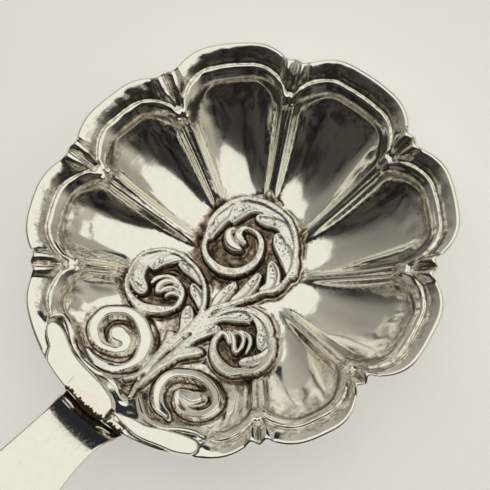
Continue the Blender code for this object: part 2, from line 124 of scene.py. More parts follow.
LOWER_SCROLL = (
    ("band", ((-8.7, -0.3, 0.33), (-7.1, -0.7, 0.33), (-5.5, -1.4, 0.33), (-4.4, -2.4, 0.33),
        (-3.7, -3.5, 0.33), (-3.5, -4.9, 0.33), (-3.8, -6.3, 0.33), (-4.5, -7.5, 0.33),
        (-5.2, -8.2, 0.33), (-5.8, -8.8, 0.33))),
    ("band", ((-4.6, -8.1, 0.28), (-6.0, -9.1, 0.39), (-7.7, -9.5, 0.44), (-9.1, -9.2, 0.47),
        (-9.9, -8.1, 0.57), (-10.7, -7.1, 0.69), (-10.9, -5.9, 0.77), (-10.7, -4.8, 0.71),
        (-10.2, -3.8, 0.55), (-9.6, -3.2, 0.45), (-8.9, -2.8, 0.41), (-8.0, -2.7, 0.4),
        (-7.5, -3.0, 0.35))),
    ("round", ((-7.7, -2.6, 0.32), (-7.5, -3.2, 0.47), (-7.7, -3.8, 0.44), (-8.1, -4.3, 0.28))),
    ("round", ((-7.0, -3.4, 0.28), (-7.2, -4.1, 0.41), (-7.8, -4.8, 0.4), (-8.4, -5.4, 0.44),
        (-8.5, -5.8, 0.28))),
    ("round", ((-6.6, -3.8, 0.26), (-6.4, -4.7, 0.34), (-6.8, -5.4, 0.33), (-7.6, -5.8, 0.34),
        (-8.3, -5.9, 0.26))),
    ("round", ((-6.1, -4.4, 0.21), (-6.0, -5.5, 0.34), (-6.5, -6.2, 0.34), (-7.2, -6.6, 0.33),
        (-7.9, -6.8, 0.18))),
    ("leaf", ((-9.9, -0.8, 0.49), (-8.9, -1.2, 0.62), (-8.0, -1.7, 0.51), (-7.5, -2.0, 0.28))),
    ("leaf", ((-8.3, -0.6, 0.33), (-6.9, -1.0, 0.51), (-5.7, -1.7, 0.72), (-4.8, -2.9, 0.86),
        (-4.4, -4.1, 0.48))),
    ("leaf", ((-3.5, -3.8, 0.45), (-3.7, -5.3, 0.75), (-4.4, -6.5, 0.84), (-5.3, -7.1, 0.78),
        (-6.2, -7.6, 0.45))),
    ("leaf", ((-5.5, -8.6, 0.32), (-6.8, -8.7, 0.51), (-7.9, -8.3, 0.61), (-8.6, -7.7, 0.61),
        (-9.0, -7.3, 0.44))),
)
STEMS = (
    ("stem", ((-19.1, 1.3, 0.28), (-18.0, 0.7, 0.34), (-16.6, 0.6, 0.44), (-15.2, 0.7, 0.49),
        (-13.7, 0.8, 0.55), (-12.4, 1.1, 0.61), (-11.5, 1.6, 0.52))),
    ("stem", ((-12.9, 0.4, 0.31), (-11.6, 0.6, 0.45), (-10.3, 0.8, 0.61), (-9.2, 1.2, 0.67))),
    ("stem", ((-18.6, -0.4, 0.28), (-17.2, -0.3, 0.41), (-15.8, -0.3, 0.49), (-14.5, -0.5, 0.61),
        (-13.1, -0.7, 0.72), (-12.1, -1.3, 0.77), (-11.3, -2.1, 0.66), (-11.0, -2.5, 0.38))),
    ("stem", ((-12.9, -0.4, 0.39), (-11.4, -0.5, 0.53), (-10.1, -0.8, 0.6), (-9.0, -1.2, 0.61))),
)
# Thin ridges on the edge of the heel, beside the lip.
STRANDS = (
    ("strand", ((-19.3, 11.6, 0.12), (-18.7, 11.4, 0.25), (-18.0, 10.7, 0.38), (-18.3, 9.5, 0.45),
        (-19.0, 8.4, 0.45), (-19.9, 7.1, 0.42), (-20.4, 5.8, 0.4), (-20.8, 4.4, 0.38),
        (-20.8, 3.0, 0.4), (-20.5, 1.8, 0.45), (-20.6, 0.5, 0.42), (-21.1, -0.7, 0.3),
        (-21.3, -1.5, 0.16))),
    ("strand", ((-20.1, -2.2, 0.2), (-20.6, -2.9, 0.3), (-21.3, -4.0, 0.34), (-21.6, -5.4, 0.34),
        (-21.2, -7.2, 0.34), (-20.1, -8.7, 0.34), (-19.3, -10.3, 0.32), (-19.2, -11.4, 0.24))),
)
# The ridge that runs down from them between the volutes.
STEM_RIDGE = (
    ("ridge", ((-20.4, -0.6, 0.25), (-19.6, -0.3, 0.28), (-18.8, 0.0, 0.3), (-18.0, 0.1, 0.33))),
)
# The plain lip over the handle, in two limbs.
LIP = (
    ("lip", ((-20.15, 10.3, 0.75), (-20.5, 9.6, 1.1), (-21.3, 8.3, 1.25), (-22.4, 7.1, 1.8),
        (-22.95, 5.35, 1.9), (-23.2, 3.5, 1.9), (-23.4, 1.7, 1.9), (-23.7, 0.3, 1.75),
        (-23.9, -0.8, 1.05), (-23.9, -1.3, 0.5))),
    ("lip", ((-23.4, -1.9, 0.15), (-23.2, -4.2, 0.7), (-23.05, -5.9, 0.85), (-22.3, -7.95, 1.05),
        (-21.65, -9.85, 1.2), (-21.1, -11.2, 1.0))),
)
# The two plain volutes: ribbons that wind in to a boss.
VOLUTES = (
    ("ribbon", ((-19.3, 7.0, 0.13), (-19.6, 6.1, 0.31), (-19.5, 4.9, 0.39), (-19.1, 3.8, 0.44),
        (-18.4, 2.8, 0.44), (-17.4, 2.2, 0.55), (-16.1, 2.0, 0.75), (-14.8, 2.4, 0.91),
        (-13.8, 3.0, 0.96), (-13.1, 3.9, 0.94), (-12.6, 5.0, 0.86), (-12.5, 6.1, 0.75),
        (-12.8, 7.0, 0.65), (-13.5, 7.8, 0.62), (-14.3, 8.4, 0.65), (-15.3, 8.5, 0.68),
        (-16.4, 8.3, 0.69), (-17.1, 7.7, 0.68), (-17.6, 6.9, 0.6), (-17.7, 6.1, 0.55),
        (-17.4, 5.2, 0.52), (-17.0, 4.5, 0.52), (-16.3, 4.1, 0.6), (-15.6, 4.3, 0.71),
        (-15.3, 4.8, 0.97), (-15.3, 5.7, 1.3))),
    ("ribbon", ((-19.7, -5.9, 0.1), (-19.4, -5.1, 0.29), (-19.3, -4.2, 0.44), (-18.8, -3.2, 0.52),
        (-17.9, -2.4, 0.6), (-16.9, -2.0, 0.65), (-15.8, -2.0, 0.68), (-14.9, -2.5, 0.65),
        (-14.3, -3.3, 0.65), (-13.7, -4.3, 0.65), (-13.5, -5.5, 0.65), (-13.6, -6.7, 0.65),
        (-14.0, -7.9, 0.65), (-14.8, -8.8, 0.6), (-15.8, -9.0, 0.6), (-16.8, -8.6, 0.62),
        (-17.5, -7.7, 0.58), (-17.8, -6.7, 0.55), (-17.7, -5.6, 0.52), (-17.2, -4.8, 0.47),
        (-16.5, -4.4, 0.44), (-16.3, -4.9, 0.68), (-16.0, -6.0, 0.94), (-15.6, -6.5, 0.91))),
)
# Height of each kind of raised line as a share of the relief.
RISES = {
    "band": 1.0, "leaf": 0.95, "round": 1.06, "stem": 0.9, "strand": 1.0, "ridge": 0.4, "lip": 1.0,
    "ribbon": 1.0, "ledge": 0.35,
}
# Share of the half width of each kind that its side takes.
SIDES = {
    "band": 0.36, "leaf": 0.3, "round": 0.75, "stem": 0.36, "strand": 0.9, "ridge": 0.9, "lip": 0.22,
    "ribbon": 0.5, "ledge": 0.25,
}
# Share of the rough, punched finish on each kind.
MATT = {
    "band": 0.9, "leaf": 1.0, "round": 0.8, "stem": 1.0, "strand": 0.3, "ridge": 0.6, "lip": 0.12,
    "ribbon": 0.25, "ledge": 0.5,
}
# How much wider the leaves are than the lines traced along them, and their dished middle.
LEAF_SPREAD = 1.2
LEAF_DISH = 0.17
LEAF_DISH_HALF = 0.7
# Rise of a volute towards the middle of the bowl, in shares of the relief per millimetre, and its ledge.
VOLUTE_LEVEL = 0.2
LEDGE_WIDTH = 0.2
# A distance past every raised line.
FAR_OFF = 9.0

# Round patches of dark ground between the raised lines: middle, radius and how dark.
GROUNDS = (
    (2.2, 2.2, 6.3, 0.8),
    (-7.6, 6.2, 4.2, 0.8),
    (-7.3, -5.8, 4.2, 0.8),
    (-18.9, 10.6, 0.6, 0.9),
    (-15.8, 5.8, 4.3, 0.5),
    (-15.8, -5.8, 4.3, 0.5),
    (-11.5, 0.2, 3.6, 0.55),
    (-16.5, 0.2, 3.6, 0.5),
)

# Arches of edge and bead from notch to lobe: degrees at their foot and top, and how full they are.
EDGE_ARCH = (2.0, 15.0, 2.4)
BEAD_ARCH = (0.6, 13.5, 1.8)
ARCH_FOOT = 0.07
# Bumps in the middle of a notch, on the edge and on the bead: height, and half their width in degrees.
TOOTH = (0.35, 2.4)
CURL = (0.35, 2.3)
# Degrees off the handle at which the plain heel begins to change into lobes, and at which it has changed.
HEEL_ANGLES = (20.0, 38.0)
# Degrees to each side of a rib in which the face goes over to the flute's.
RIB_REACH = 18.0
# How near the ground under the ornament is to the ribs, where 0 is the middle of a flute and 1 a rib.
EVEN_GROUND = 0.3
# How early the band turns up outside the bead, and how much earlier at the heel.
BAND_FLARE = 1.35
HEEL_FLARE = 3.4
# The most that a slope deepens the bowl's sheet, measured straight down, and the handle's.
STEEPEST_WALL = 2.4
STEEPEST_STRIP = 1.6

# Twin ribs: half their width at the middle, its growth outwards and on the band, and their round.
RIB_HALF = 0.52
RIB_GROWTH = 0.03
FOLD_SPREAD = 0.4
TWIN_ROUND = 0.9
# Grooves beside the ribs and the cleft between them, in half widths of the ribs, and the grooves' depth.
GROOVE_WIDTH = 0.7
CLEFT_HALF = 0.16
RIB_GROOVE = 0.3
# Section of the bead, its grooves' middle and half width in half widths of the bead, and their depth.
BEAD_FLAT = 2.6
BEAD_ROUND = 0.6
BESIDE_BEAD = 1.35
BESIDE_HALF = 0.45
BEAD_GROOVE = 0.09
# How much dirt lies along bead, ribs and band, and on the back of the bowl.
DIRT = {"bead sides": 0.5, "rib sides": 0.45, "between ribs": 0.5, "below bead": 0.44, "band": 0.36}
BACK_DIRT = 0.15

# Slope from the lip down to the ridges beside it, and how far the heel's edge lies inside these ridges.
HEEL_SLOPE = 0.55
HEEL_EDGE = 0.36
# Where the stems come to the heel, across it, half the width there, and where the slope begins there.
HEEL_MIDDLE = -1.4
HEEL_MIDDLE_HALF = 3.4
SLOPE_START = -23.4
# Radii between which the slope ends beside the stems, how fast the heel ends sideways, and the lip's foot.
HEEL_RADII = (22.7, 23.3)
HEEL_FADE = 0.7
LIP_LEAST = 0.4
# Where the solder has a crack in it, beside the middle of the heel.
CRACK_AT = -1.55

# How much the blank's faces crowd at the notches, and the place of its rings on the face of the bowl.
CROWDING = 0.62
RING_SHARES = ((0.0, 0.63, 0.75, 0.87, 1.0), (0.0, 0.955, 1.0, 1.3, 2.0))
# Distance from the ornament within which the blank has finer faces, and the cuts along its rim.
FINE_MARGIN = 0.5
RIM_CUTS = 3
# Depth of the groove round the ornament, and the round of the sheet's edge.
OUTLINE_DEPTH = 0.16
EDGE_ROUND = 0.16
# Share of its thickness that the flared edge loses, and shares of ornament and folds seen on the back.
EDGE_THINNING = 0.25
HOLLOW_SHARE = 0.75
FOLD_SHARE = 0.6

# Handle: how soon its lap's shape runs out, its straight root, its end, its round sides and its crown.
LAP_FADE = 3.0
ROOT_STRAIGHT = 1.5
END_ROUND = 2.2
END_MARGIN = 0.02
STRIP_ROUND = 0.18
CROWN_FROM = (27.0, 34.0)
# The handle's faces along and across it and cuts on its sides, and how far the faces crowd at its end.
HANDLE_FACES = (150, 36, 4)
CROWDED_END = 1.55
CROWDED_SHARE = 0.7
# Solder: places across it, how far it reaches into the heel, its film, and its margin inside the handle.
SOLDER_PLACES = 121
SOLDER_HAIR = 0.02
SOLDER_FILM = 0.06
SOLDER_MARGIN = 0.1

# Finish: roughness of the handle as a share of the bowl's and of the solder, warm film, wear and scratches.
HANDLE_POLISH = 0.8
SOLDER_POLISH = 0.16
FILM_COLOUR = (0.62, 0.52, 0.40, 1.0)
WEAR_DEPTH = 0.05
SCRATCH_STRETCH = (0.22, 7.0, 3.0)

# Stage: half the floor's size in metres, the darker share of its grain, and the camera's sensor and offset.
FLOOR_HALF = 4.0
FLOOR_GRAIN = 0.97
SENSOR_WIDTH = 36.0
VIEW_OFFSET = (1.168, 0.136)

# Properties that every group of settings has.
PLAIN_KEYS = ("rna_type", "name")


def length(name, text, default):
    """A length in metres, from millimetres."""
    size = default * MM
    return FloatProperty(name=name, description=text, default=size, min=0.0, unit="LENGTH", precision=5)


def degrees(name, text, default):
    """An angle, from degrees."""
    return FloatProperty(name=name, description=text, default=math.radians(default), subtype="ANGLE")


def ratio(name, text, default):
    """A plain number."""
    return FloatProperty(name=name, description=text, default=default, precision=3)


def colour(name, text, default):
    """A linear colour."""
    return FloatVectorProperty(
        name=name, description=text, default=default, size=3, min=0.0, max=1.0, subtype="COLOR"
    )


class BowlSettings(bpy.types.PropertyGroup):
    """Sizes of the bowl."""

    radius: length("Radius", "Radius of the edge at a usual lobe", 25.0)
    rim_height: length("Rim height", "Height of the rim over the table", 9.7)
    sheet: length("Sheet", "Thickness of the silver sheet", 0.65)
    floor_top: length("Floor", "Height of the inside floor over the table", 0.5)
    floor_round: length("Floor round", "Radius that the round floor runs out to", 20.3)
    floor_share: ratio("Floor share", "Share of the way to the bead that is flat", 0.31)
    band: length("Band", "Width of the flared band outside the bead", 3.0)
    bead_drop: length("Bead drop", "Depth of the bead below the rim", 2.1)
    heel_lip: length("Heel lip", "Width of the plain lip over the handle", 3.9)
    heel_drop: length("Heel drop", "Depth of the inner line of the heel lip below the rim", 4.0)
    notch_depth: length("Notch depth", "How far the usual notch cuts into the edge", 1.9)
    notch_inset: length("Notch inset", "How far the bead runs in at the usual notch", 6.2)
    flute_power: ratio("Flute power", "How late a flute turns up towards its bead", 2.2)
    rib_power: ratio("Rib power", "How late a rib between two flutes turns up", 1.2)
    heel_power: ratio("Heel power", "How late the heel turns up", 1.5)
    edge_lean: length("Edge lean", "How far the back of the flared edge stands out past its front", 0.24)
    bead_height: length("Bead height", "Height of the bead", 0.5)
    bead_half: length("Bead half width", "Half the width of the bead", 0.74)
    rib_height: length("Rib height", "Height of the twin ribs between two flutes", 0.42)
    ridge_height: length("Ridge height", "Height of the twin folds of the band in each notch", 0.55)
    relief: length("Relief", "Height of the chased ornament", 1.1)
    lip_height: length("Lip height", "Height of the lip over the rim", 0.5)
    strand_height: length("Strand height", "Height of the thin ridges beside the lip", 0.28)
    planish: length("Planishing", "Depth of the waves that the hammer leaves", 0.07)
    rings: IntProperty(
        name="Rings", description="Rings of faces from middle to rim", default=76, min=24, max=160
    )


class HandleSettings(bpy.types.PropertyGroup):
    """Sizes of the handle. Distances run out from the middle of the bowl."""

    start: length("Start", "Where the handle begins under the heel", 22.7)
    end: length("End", "Where the handle ends", 57.0)
    sheet: length("Sheet", "Thickness of the handle", 0.85)
    side: length("Side", "How far the handle sits off the middle of the heel", 0.35)
    root_width: length("Root width", "Width at the heel", 8.6)
    waist_width: length("Waist width", "Width at the waist", 7.4)
    waist_at: length("Waist at", "Where the waist is", 28.8)
    end_width: length("End width", "Width near the round end", 12.0)
    end_from: length("End from", "Where the round end begins", 50.0)
    joggle: length("Joggle", "Short step up out of the joint", 1.0)
    joggle_reach: length("Joggle reach", "Distance in which the step is mostly made", 1.6)
    rise: length("Rise", "Rise of the handle after the step", 4.4)
    rise_reach: length("Rise reach", "Distance in which the rise is mostly made", 6.0)
    droop: length("Droop", "Fall of the handle at its end", 0.8)
    crown: length("Crown", "How far the sides fall below the middle", 0.25)
    gap: length("Joint gap", "Clearance on each side of the solder", 0.1)
    solder: length("Solder", "Thickness of the solder layer", 0.2)
    fillet: length("Fillet", "Reach of the solder fillet along the handle", 0.35)
    flow: length("Flow", "Reach of the solder over the edge of the heel", 1.5)


class SilverSettings(bpy.types.PropertyGroup):
    """Finish of the silver."""

    silver: colour("Silver", "Colour of polished silver", (0.90, 0.885, 0.83))
    solder: colour("Solder", "Colour of the solder", (0.89, 0.85, 0.77))
    brown: colour("Brown", "Colour of the thin brown patina", (0.42, 0.33, 0.235))
    tarnish: colour("Tarnish", "Colour of the dark patina in recesses", (0.055, 0.043, 0.032))
    polish: ratio("Roughness", "Roughness of the polished faces", 0.11)


class StageSettings(bpy.types.PropertyGroup):
    """Floor and camera."""

    floor: colour("Floor", "Colour of the floor", (0.80, 0.79, 0.77))
    paleness: ratio("Paleness", "Share of its colour that the floor shows in any light", 0.42)
    tilt: degrees("Tilt", "Lean of the view off the vertical", 20.5)
    lean: degrees("Lean", "Direction in the picture that the bowl leans to", 115.8)
    roll: degrees("Roll", "Turn of the spoon in the picture", 51.4)
    distance: length("Distance", "Distance from the camera to the rim", 357.0)
    lens: ratio("Lens", "Focal length in millimetres on a 36 mm sensor", 231.4)


def in_mm(group):
    """The settings of a group as plain numbers, with lengths in millimetres."""
    found = SimpleNamespace()
    for key, prop in group.bl_rna.properties.items():
        if key in PLAIN_KEYS:
            continue
        value = getattr(group, key)
        is_length = prop.type == "FLOAT" and prop.unit == "LENGTH"
        setattr(found, key, value / MM if is_length else value)
    return found


def ease(low, high, value):
    """Smooth step from 0 at low to 1 at high."""
    t = np.clip((value - low) / (high - low), 0.0, 1.0)
    return t * t * (3.0 - 2.0 * t)


def mix(first, second, amount):
    """Goes from first to second as amount goes from 0 to 1."""
    return first + (second - first) * amount


def window(value, rise, fall):
    """1 between two soft steps, each given by its low and high end, and 0 outside them."""
    return ease(*rise, value) * (1.0 - ease(*fall, value))


def peak(value, width, power=2):
    """1 where value is 0, and near 0 past the width."""
    return np.exp(-((value / width) ** power))


def noise_at(spots):
    """Smooth noise at each spot, between about -1 and 1."""
    return np.array([noise.noise(spot) for spot in spots.tolist()])


def notch_at(angle):
    """Degrees to the nearest notch, with its differences at the edge and at the bead."""
    table = np.array(NOTCHES)
    away = np.abs((angle[:, None] - table[:, 0] + 180.0) % 360.0 - 180.0)
    nearest = away.argmin(axis=1)
    return away.min(axis=1), table[nearest, 1], table[nearest, 2]


def lobe_offset(angle):
    """By how much the edge differs from the bowl's radius at an angle, before the notches are cut in."""
    table = np.array(LOBES)
    around = np.concatenate([table[:, 0] - 360.0, table[:, 0], table[:, 0] + 360.0])
    values = np.tile(table[:, 1], 3)
    turned = angle % 360.0
    after = np.clip(np.searchsorted(around, turned), 1, len(around) - 1)
    return mix(values[after - 1], values[after], ease(around[after - 1], around[after], turned))


def heel_amount(angle):
    """1 at the heel over the handle, falling to 0 where the plain lip ends."""
    return 1.0 - ease(*HEEL_ANGLES, np.abs(angle % 360.0 - 180.0))


def arch(away, low, high, power):
    """Round arch from 0 in the notch to 1 at the middle of a lobe."""
    t = np.clip((away - low) / (high - low), 0.0, 1.0)
    soft = t * t * (1.0 + ARCH_FOOT) / (t + ARCH_FOOT)
    return 1.0 - (1.0 - soft) ** power


def notch_bump(away, height, half):
    """A small round bump in the middle of a notch, its half width in degrees."""
    return height * np.cos(math.pi * np.clip(away / half, 0.0, 1.0) / 2.0) ** 2


def contours(bowl, angle):
    """Radius of the edge and of the bead at each angle, degrees to the nearest notch, heel amount."""
    away, edge_off, bead_off = notch_at(angle)
    heel = heel_amount(angle)
    lobe = bowl.radius + lobe_offset(angle)
    notch_edge = bowl.radius - bowl.notch_depth + edge_off
    notch_bead = bowl.radius - bowl.notch_inset + bead_off
    edge = mix(notch_edge, lobe, arch(away, *EDGE_ARCH)) + notch_bump(away, *TOOTH)
    bead_lobe = (lobe - bowl.band) * (1.0 - heel) + (bowl.radius - bowl.heel_lip) * heel
    bead = mix(notch_bead, bead_lobe, arch(away, *BEAD_ARCH)) + notch_bump(away, *CURL)
    return edge, bead, away, heel


def bowl_surface(bowl, share, angle, even=0.0):
    """Inside face of the bowl: radius and height.

    share runs 0 to 1 out to the bead and on to 2 at the edge. Where even is 1, flutes and ribs are
    levelled to one ground."""
    edge, bead, away, heel = contours(bowl, angle)
    inner = np.minimum(share, 1.0)
    outer = np.clip(share - 1.0, 0.0, 1.0)
    lip = edge - bowl.edge_lean * (1.0 - heel)
    radius = inner * mix(bowl.floor_round, bead, inner ** 2) + (lip - bead) * outer
    drop = bowl.bead_drop * (1.0 - heel) + bowl.heel_drop * heel
    bead_z = bowl.rim_height - drop
    ribbed = np.clip(1.0 - away / RIB_REACH, 0.0, 1.0) ** 2
    ribbed = mix(ribbed, EVEN_GROUND, even)
    power = bowl.flute_power - (bowl.flute_power - bowl.rib_power) * ribbed
    power = power * (1.0 - heel) + bowl.heel_power * heel
    flare = BAND_FLARE + HEEL_FLARE * heel
    climb = np.clip((inner - bowl.floor_share) / (1.0 - bowl.floor_share), 0.0, 1.0) ** power
    height = mix(bowl.floor_top, bead_z, climb) + drop * (1.0 - (1.0 - outer) ** flare)
    return radius, height


def wall(bowl, share, angle):
    """Depth of the sheet, measured straight down, where the face slopes."""
    step = 0.01
    r0, z0 = bowl_surface(bowl, share - step, angle)
    r1, z1 = bowl_surface(bowl, np.minimum(share + step, 2.0), angle)
    slope = (z1 - z0) / np.maximum(r1 - r0, 1e-4)
    return bowl.sheet * np.minimum(np.sqrt(1.0 + slope ** 2), STEEPEST_WALL)


def share_at(bowl, radius, angle):
    """Share along the face at which it reaches a radius."""
    low = np.zeros_like(radius)
    high = np.full_like(radius, 2.0)
    for _ in range(32):
        middle = (low + high) / 2.0
        short = bowl_surface(bowl, middle, angle)[0] < radius
        low = np.where(short, middle, low)
        high = np.where(short, high, middle)
    return (low + high) / 2.0


def heel_back(bowl, radius, angle):
    """Height of the back of the bowl at a radius."""
    share = share_at(bowl, radius, angle)
    return bowl_surface(bowl, share, angle)[1] - wall(bowl, share, angle)


def bowl_detail(bowl, share, angle, radius, clear):
    """Height that bead, ribs and folds add to the inside face, and the dirt in their grooves.

    They run out before the ornament, where clear is the distance out of it."""
    _, bead, away, heel = contours(bowl, angle)
    plain = 1.0 - ease(0.05, 0.35, heel)
    half = (RIB_HALF + RIB_GROWTH * radius) * (1.0 + FOLD_SPREAD * ease(1.0, 1.2, share))
    across = np.radians(away) * radius / half
    twin = np.where(across < 1.0, np.abs(np.sin(math.pi * across)) ** TWIN_ROUND, 0.0)
    grooved = (across > 1.0) & (across < 1.0 + GROOVE_WIDTH)
    groove = np.where(grooved, np.sin(math.pi * (across - 1.0) / GROOVE_WIDTH) ** 2, 0.0)
    inside = window(share, (0.2, 0.4), (0.95, 0.99)) * ease(0.1, 0.6, clear)
    ribs = bowl.rib_height * (twin - RIB_GROOVE * groove) * inside * ease(3.0, 12.0, radius)
    folds = bowl.ridge_height * twin * ease(1.25, 1.5, share) * plain
    turn = 0.2
    ahead = contours(bowl, angle + turn)[1]
    behind = contours(bowl, angle - turn)[1]
    steep = (ahead - behind) / np.radians(2.0 * turn) / bead
    past = (radius - bead) / np.sqrt(1.0 + steep ** 2) / bowl.bead_half
    crest = np.clip(1.0 - np.abs(past) ** BEAD_FLAT, 0.0, 1.0) ** BEAD_ROUND
    beside = np.clip(1.0 - ((np.abs(past) - BESIDE_BEAD) / BESIDE_HALF) ** 2, 0.0, 1.0)
    bead_line = (bowl.bead_height * crest - BEAD_GROOVE * beside) * plain
    middle = (across < CLEFT_HALF) * np.maximum(inside, ease(1.25, 1.45, share))
    dirt = [
        DIRT["bead sides"] * beside * plain,
        DIRT["rib sides"] * groove * inside,
        DIRT["between ribs"] * middle,
        DIRT["below bead"] * window(share, (0.86, 0.97), (0.98, 1.0)) * plain,
        DIRT["band"] * window(share, (1.1, 1.25), (1.6, 1.95)) * plain,
    ]
    return ribs + folds + bead_line, np.max(dirt, axis=0)


def smooth_path(points, steps=6):
    """Points along a smooth curve through the given ones."""
    table = np.array(points, dtype=float)
    ends = np.vstack([2 * table[0] - table[1], table, 2 * table[-1] - table[-2]])
    out = []
    for i in range(len(table) - 1):
        a, b, c, d = ends[i : i + 4]
        for t in np.arange(steps) / steps:
            bend = (2 * a - 5 * b + 4 * c - d) * t ** 2 + (3 * b - a - 3 * c + d) * t ** 3
            out.append(0.5 * (2 * b + (c - a) * t + bend))
    out.append(table[-1])
    return np.array(out)


def along(path):
    """Share of the way along a path at each of its points."""
    steps = np.hypot(*np.diff(path, axis=0).T)
    reach = np.concatenate([[0.0], np.cumsum(steps)])
    return reach / reach[-1]


def plain_lines(table):
    """The raised lines of a table, each of one height."""
    found = []
    for kind, points in table:
        path = smooth_path(points)
        spread = LEAF_SPREAD if kind == "leaf" else 1.0
        found.append((path[:, :2], spread * path[:, 2], np.full(len(path), RISES[kind]), kind))
    return found


def ornament():
    """Every raised line of the ornament: path, half widths, heights as shares of the relief, kind."""
    found = plain_lines(MAIN_SCROLL + UPPER_SCROLL + LOWER_SCROLL + STEMS + STEM_RIDGE)
    for kind, points in VOLUTES:
        path = smooth_path(points, 9)
        stand = VOLUTE_LEVEL * (path[:, 0] - path[:, 0].mean())
        ledge = np.full(len(path), RISES["ledge"])
        found.append((path[:, :2], path[:, 2] + LEDGE_WIDTH, ledge, "ledge"))
        found.append((path[:, :2], path[:, 2], RISES[kind] + stand, kind))
    return found


def section(kind, out):
    """Height of a raised line, from its middle at out 0 to its side at out 1."""
    t = np.clip((1.0 - out) / SIDES[kind], 0.0, 1.0)
    shoulder = np.sqrt(np.clip(1.0 - (1.0 - t) ** 2, 0.0, 1.0))
    if kind == "leaf":
        return shoulder - LEAF_DISH * np.clip(1.0 - (out / LEAF_DISH_HALF) ** 2, 0.0, 1.0)
    return shoulder


def stipple_of(kind, at, out):
    """How densely a raised line is punched, by the share along it and out from its middle."""
    if kind == "leaf":
        return ease(0.2, 0.75, at) * (1.0 - ease(0.45, 0.75, out))
    if kind in ("band", "stem"):
        return 0.45 * (1.0 - ease(0.3, 0.7, out))
    return np.zeros(len(at))


def relief(x, y, lines):
    """Height of raised lines as a share, distance out of them, and where they are stippled and matt."""
    height = np.zeros(len(x))
    clear = np.full(len(x), FAR_OFF)
    stipple = np.zeros(len(x))
    matt = np.zeros(len(x))
    for path, half, rise, kind in lines:
        reach = half.max() + 1.5
        low = path.min(axis=0) - reach
        high = path.max(axis=0) + reach
        near = np.nonzero((x > low[0]) & (x < high[0]) & (y > low[1]) & (y < high[1]))[0]
        share = along(path)
        best = np.full(len(near), 10.0 * FAR_OFF)
        out = np.full(len(near), 10.0 * FAR_OFF)
        top = np.zeros(len(near))
        at = np.zeros(len(near))
        for i in range(len(path) - 1):
            step = path[i + 1] - path[i]
            across = np.stack([x[near] - path[i, 0], y[near] - path[i, 1]], axis=1)
            t = np.clip(across @ step / max(step @ step, 1e-9), 0.0, 1.0)
            gap = np.hypot(across[:, 0] - t * step[0], across[:, 1] - t * step[1])
            wide = mix(half[i], half[i + 1], t)
            closer = gap / wide < out
            out = np.where(closer, gap / wide, out)
            top = np.where(closer, mix(rise[i], rise[i + 1], t), top)
            at = np.where(closer, mix(share[i], share[i + 1], t), at)
            best = np.minimum(best, gap - wide)
        bump = np.where(out < 1.0, top * section(kind, np.minimum(out, 1.0)), 0.0)
        higher = bump > height[near]
        stipple[near] = np.where(higher, stipple_of(kind, at, out), stipple[near])
        matt[near] = np.where(higher, MATT[kind], matt[near])
        height[near] = np.maximum(height[near], bump)
        clear[near] = np.minimum(clear[near], best)
    return height, clear, stipple, matt


def hammer_marks(x, y, share, angle, radius):
    """Unevenness left by the hammer: waves and streaks down the flutes, dents, marks at bead and band."""
    turn = np.radians(angle)
    spots = np.stack([x, y, 0.0 * x], axis=1)

    def lengthwise(across, down):
        return noise_at(np.stack([across * np.cos(turn), across * np.sin(turn), down * radius], axis=1))

    waves = lengthwise(7.0, 0.07)
    streaks = lengthwise(24.0, 0.12) * window(share, (0.35, 0.6), (0.85, 0.95))
    dents = noise_at(0.33 * spots + 5.0)
    small = noise_at(0.95 * spots + 9.0)
    below_bead = window(share, (0.74, 0.94), (0.95, 1.0))
    on_band = window(share, (1.1, 1.25), (1.7, 2.0))
    smooth_face = (waves + 0.5 * dents + 0.35 * streaks) * ease(0.12, 0.4, share)
    return smooth_face + small * (2.0 * below_bead + 1.5 * on_band)


def heel_face(bowl, x, y, height):
    """Raises the heel beside the handle: a level lip, a slope inside it and thin ridges.

    Gives the height, the distance out of lip and ridges, how far they are matt, and their dirt."""
    lip, lip_clear, _, lip_matt = relief(x, y, plain_lines(LIP))
    strand, strand_clear, _, strand_matt = relief(x, y, plain_lines(STRANDS))
    line = np.array([point for _, points in STRANDS for point in points])
    line = line[np.argsort(line[:, 1])]
    edge = np.interp(y, line[:, 1], line[:, 0]) + HEEL_EDGE
    first = line[0, 1]
    last = line[-1, 1]
    ends = window(y, (first - HEEL_FADE, first), (last, last + HEEL_FADE))
    terrace = (1.0 - ease(-0.12, 0.12, x - edge)) * ends
    middle = peak(y - HEEL_MIDDLE, HEEL_MIDDLE_HALF, 6)
    down = np.maximum(lip_clear, 0.0) * (1.0 - middle) + np.maximum(x - SLOPE_START, 0.0) * middle
    inward = 1.0 - ease(*HEEL_RADII, np.hypot(x, y)) * (1.0 - middle)
    z = height + terrace * inward * (bowl.rim_height - HEEL_SLOPE * down - height)
    z = z + bowl.strand_height * strand * terrace
    top = bowl.rim_height + bowl.lip_height * mix(LIP_LEAST, 1.0, lip)
    z = z + lip * np.maximum(top - z, 0.0)
    clear = np.minimum(lip_clear, strand_clear)
    lined = peak(np.maximum(clear, 0.0), 0.15) * ease(-0.1, 0.03, clear) * (1.0 - 0.9 * middle)
    crack = peak(y - CRACK_AT, 0.22, 4) * (x < SLOPE_START + 0.3)
    return z, clear, np.maximum(lip_matt, strand_matt), np.maximum(lined, crack)


def patina_ground(x, y):
    """Where the ground between the raised lines keeps its dark patina."""
    amount = np.zeros(len(x))
    for cx, cy, radius, dark in GROUNDS:
        past = ease(radius - 0.5, radius + 0.4, np.hypot(x - cx, y - cy))
        amount = np.maximum(amount, dark - dark * past)
    return amount


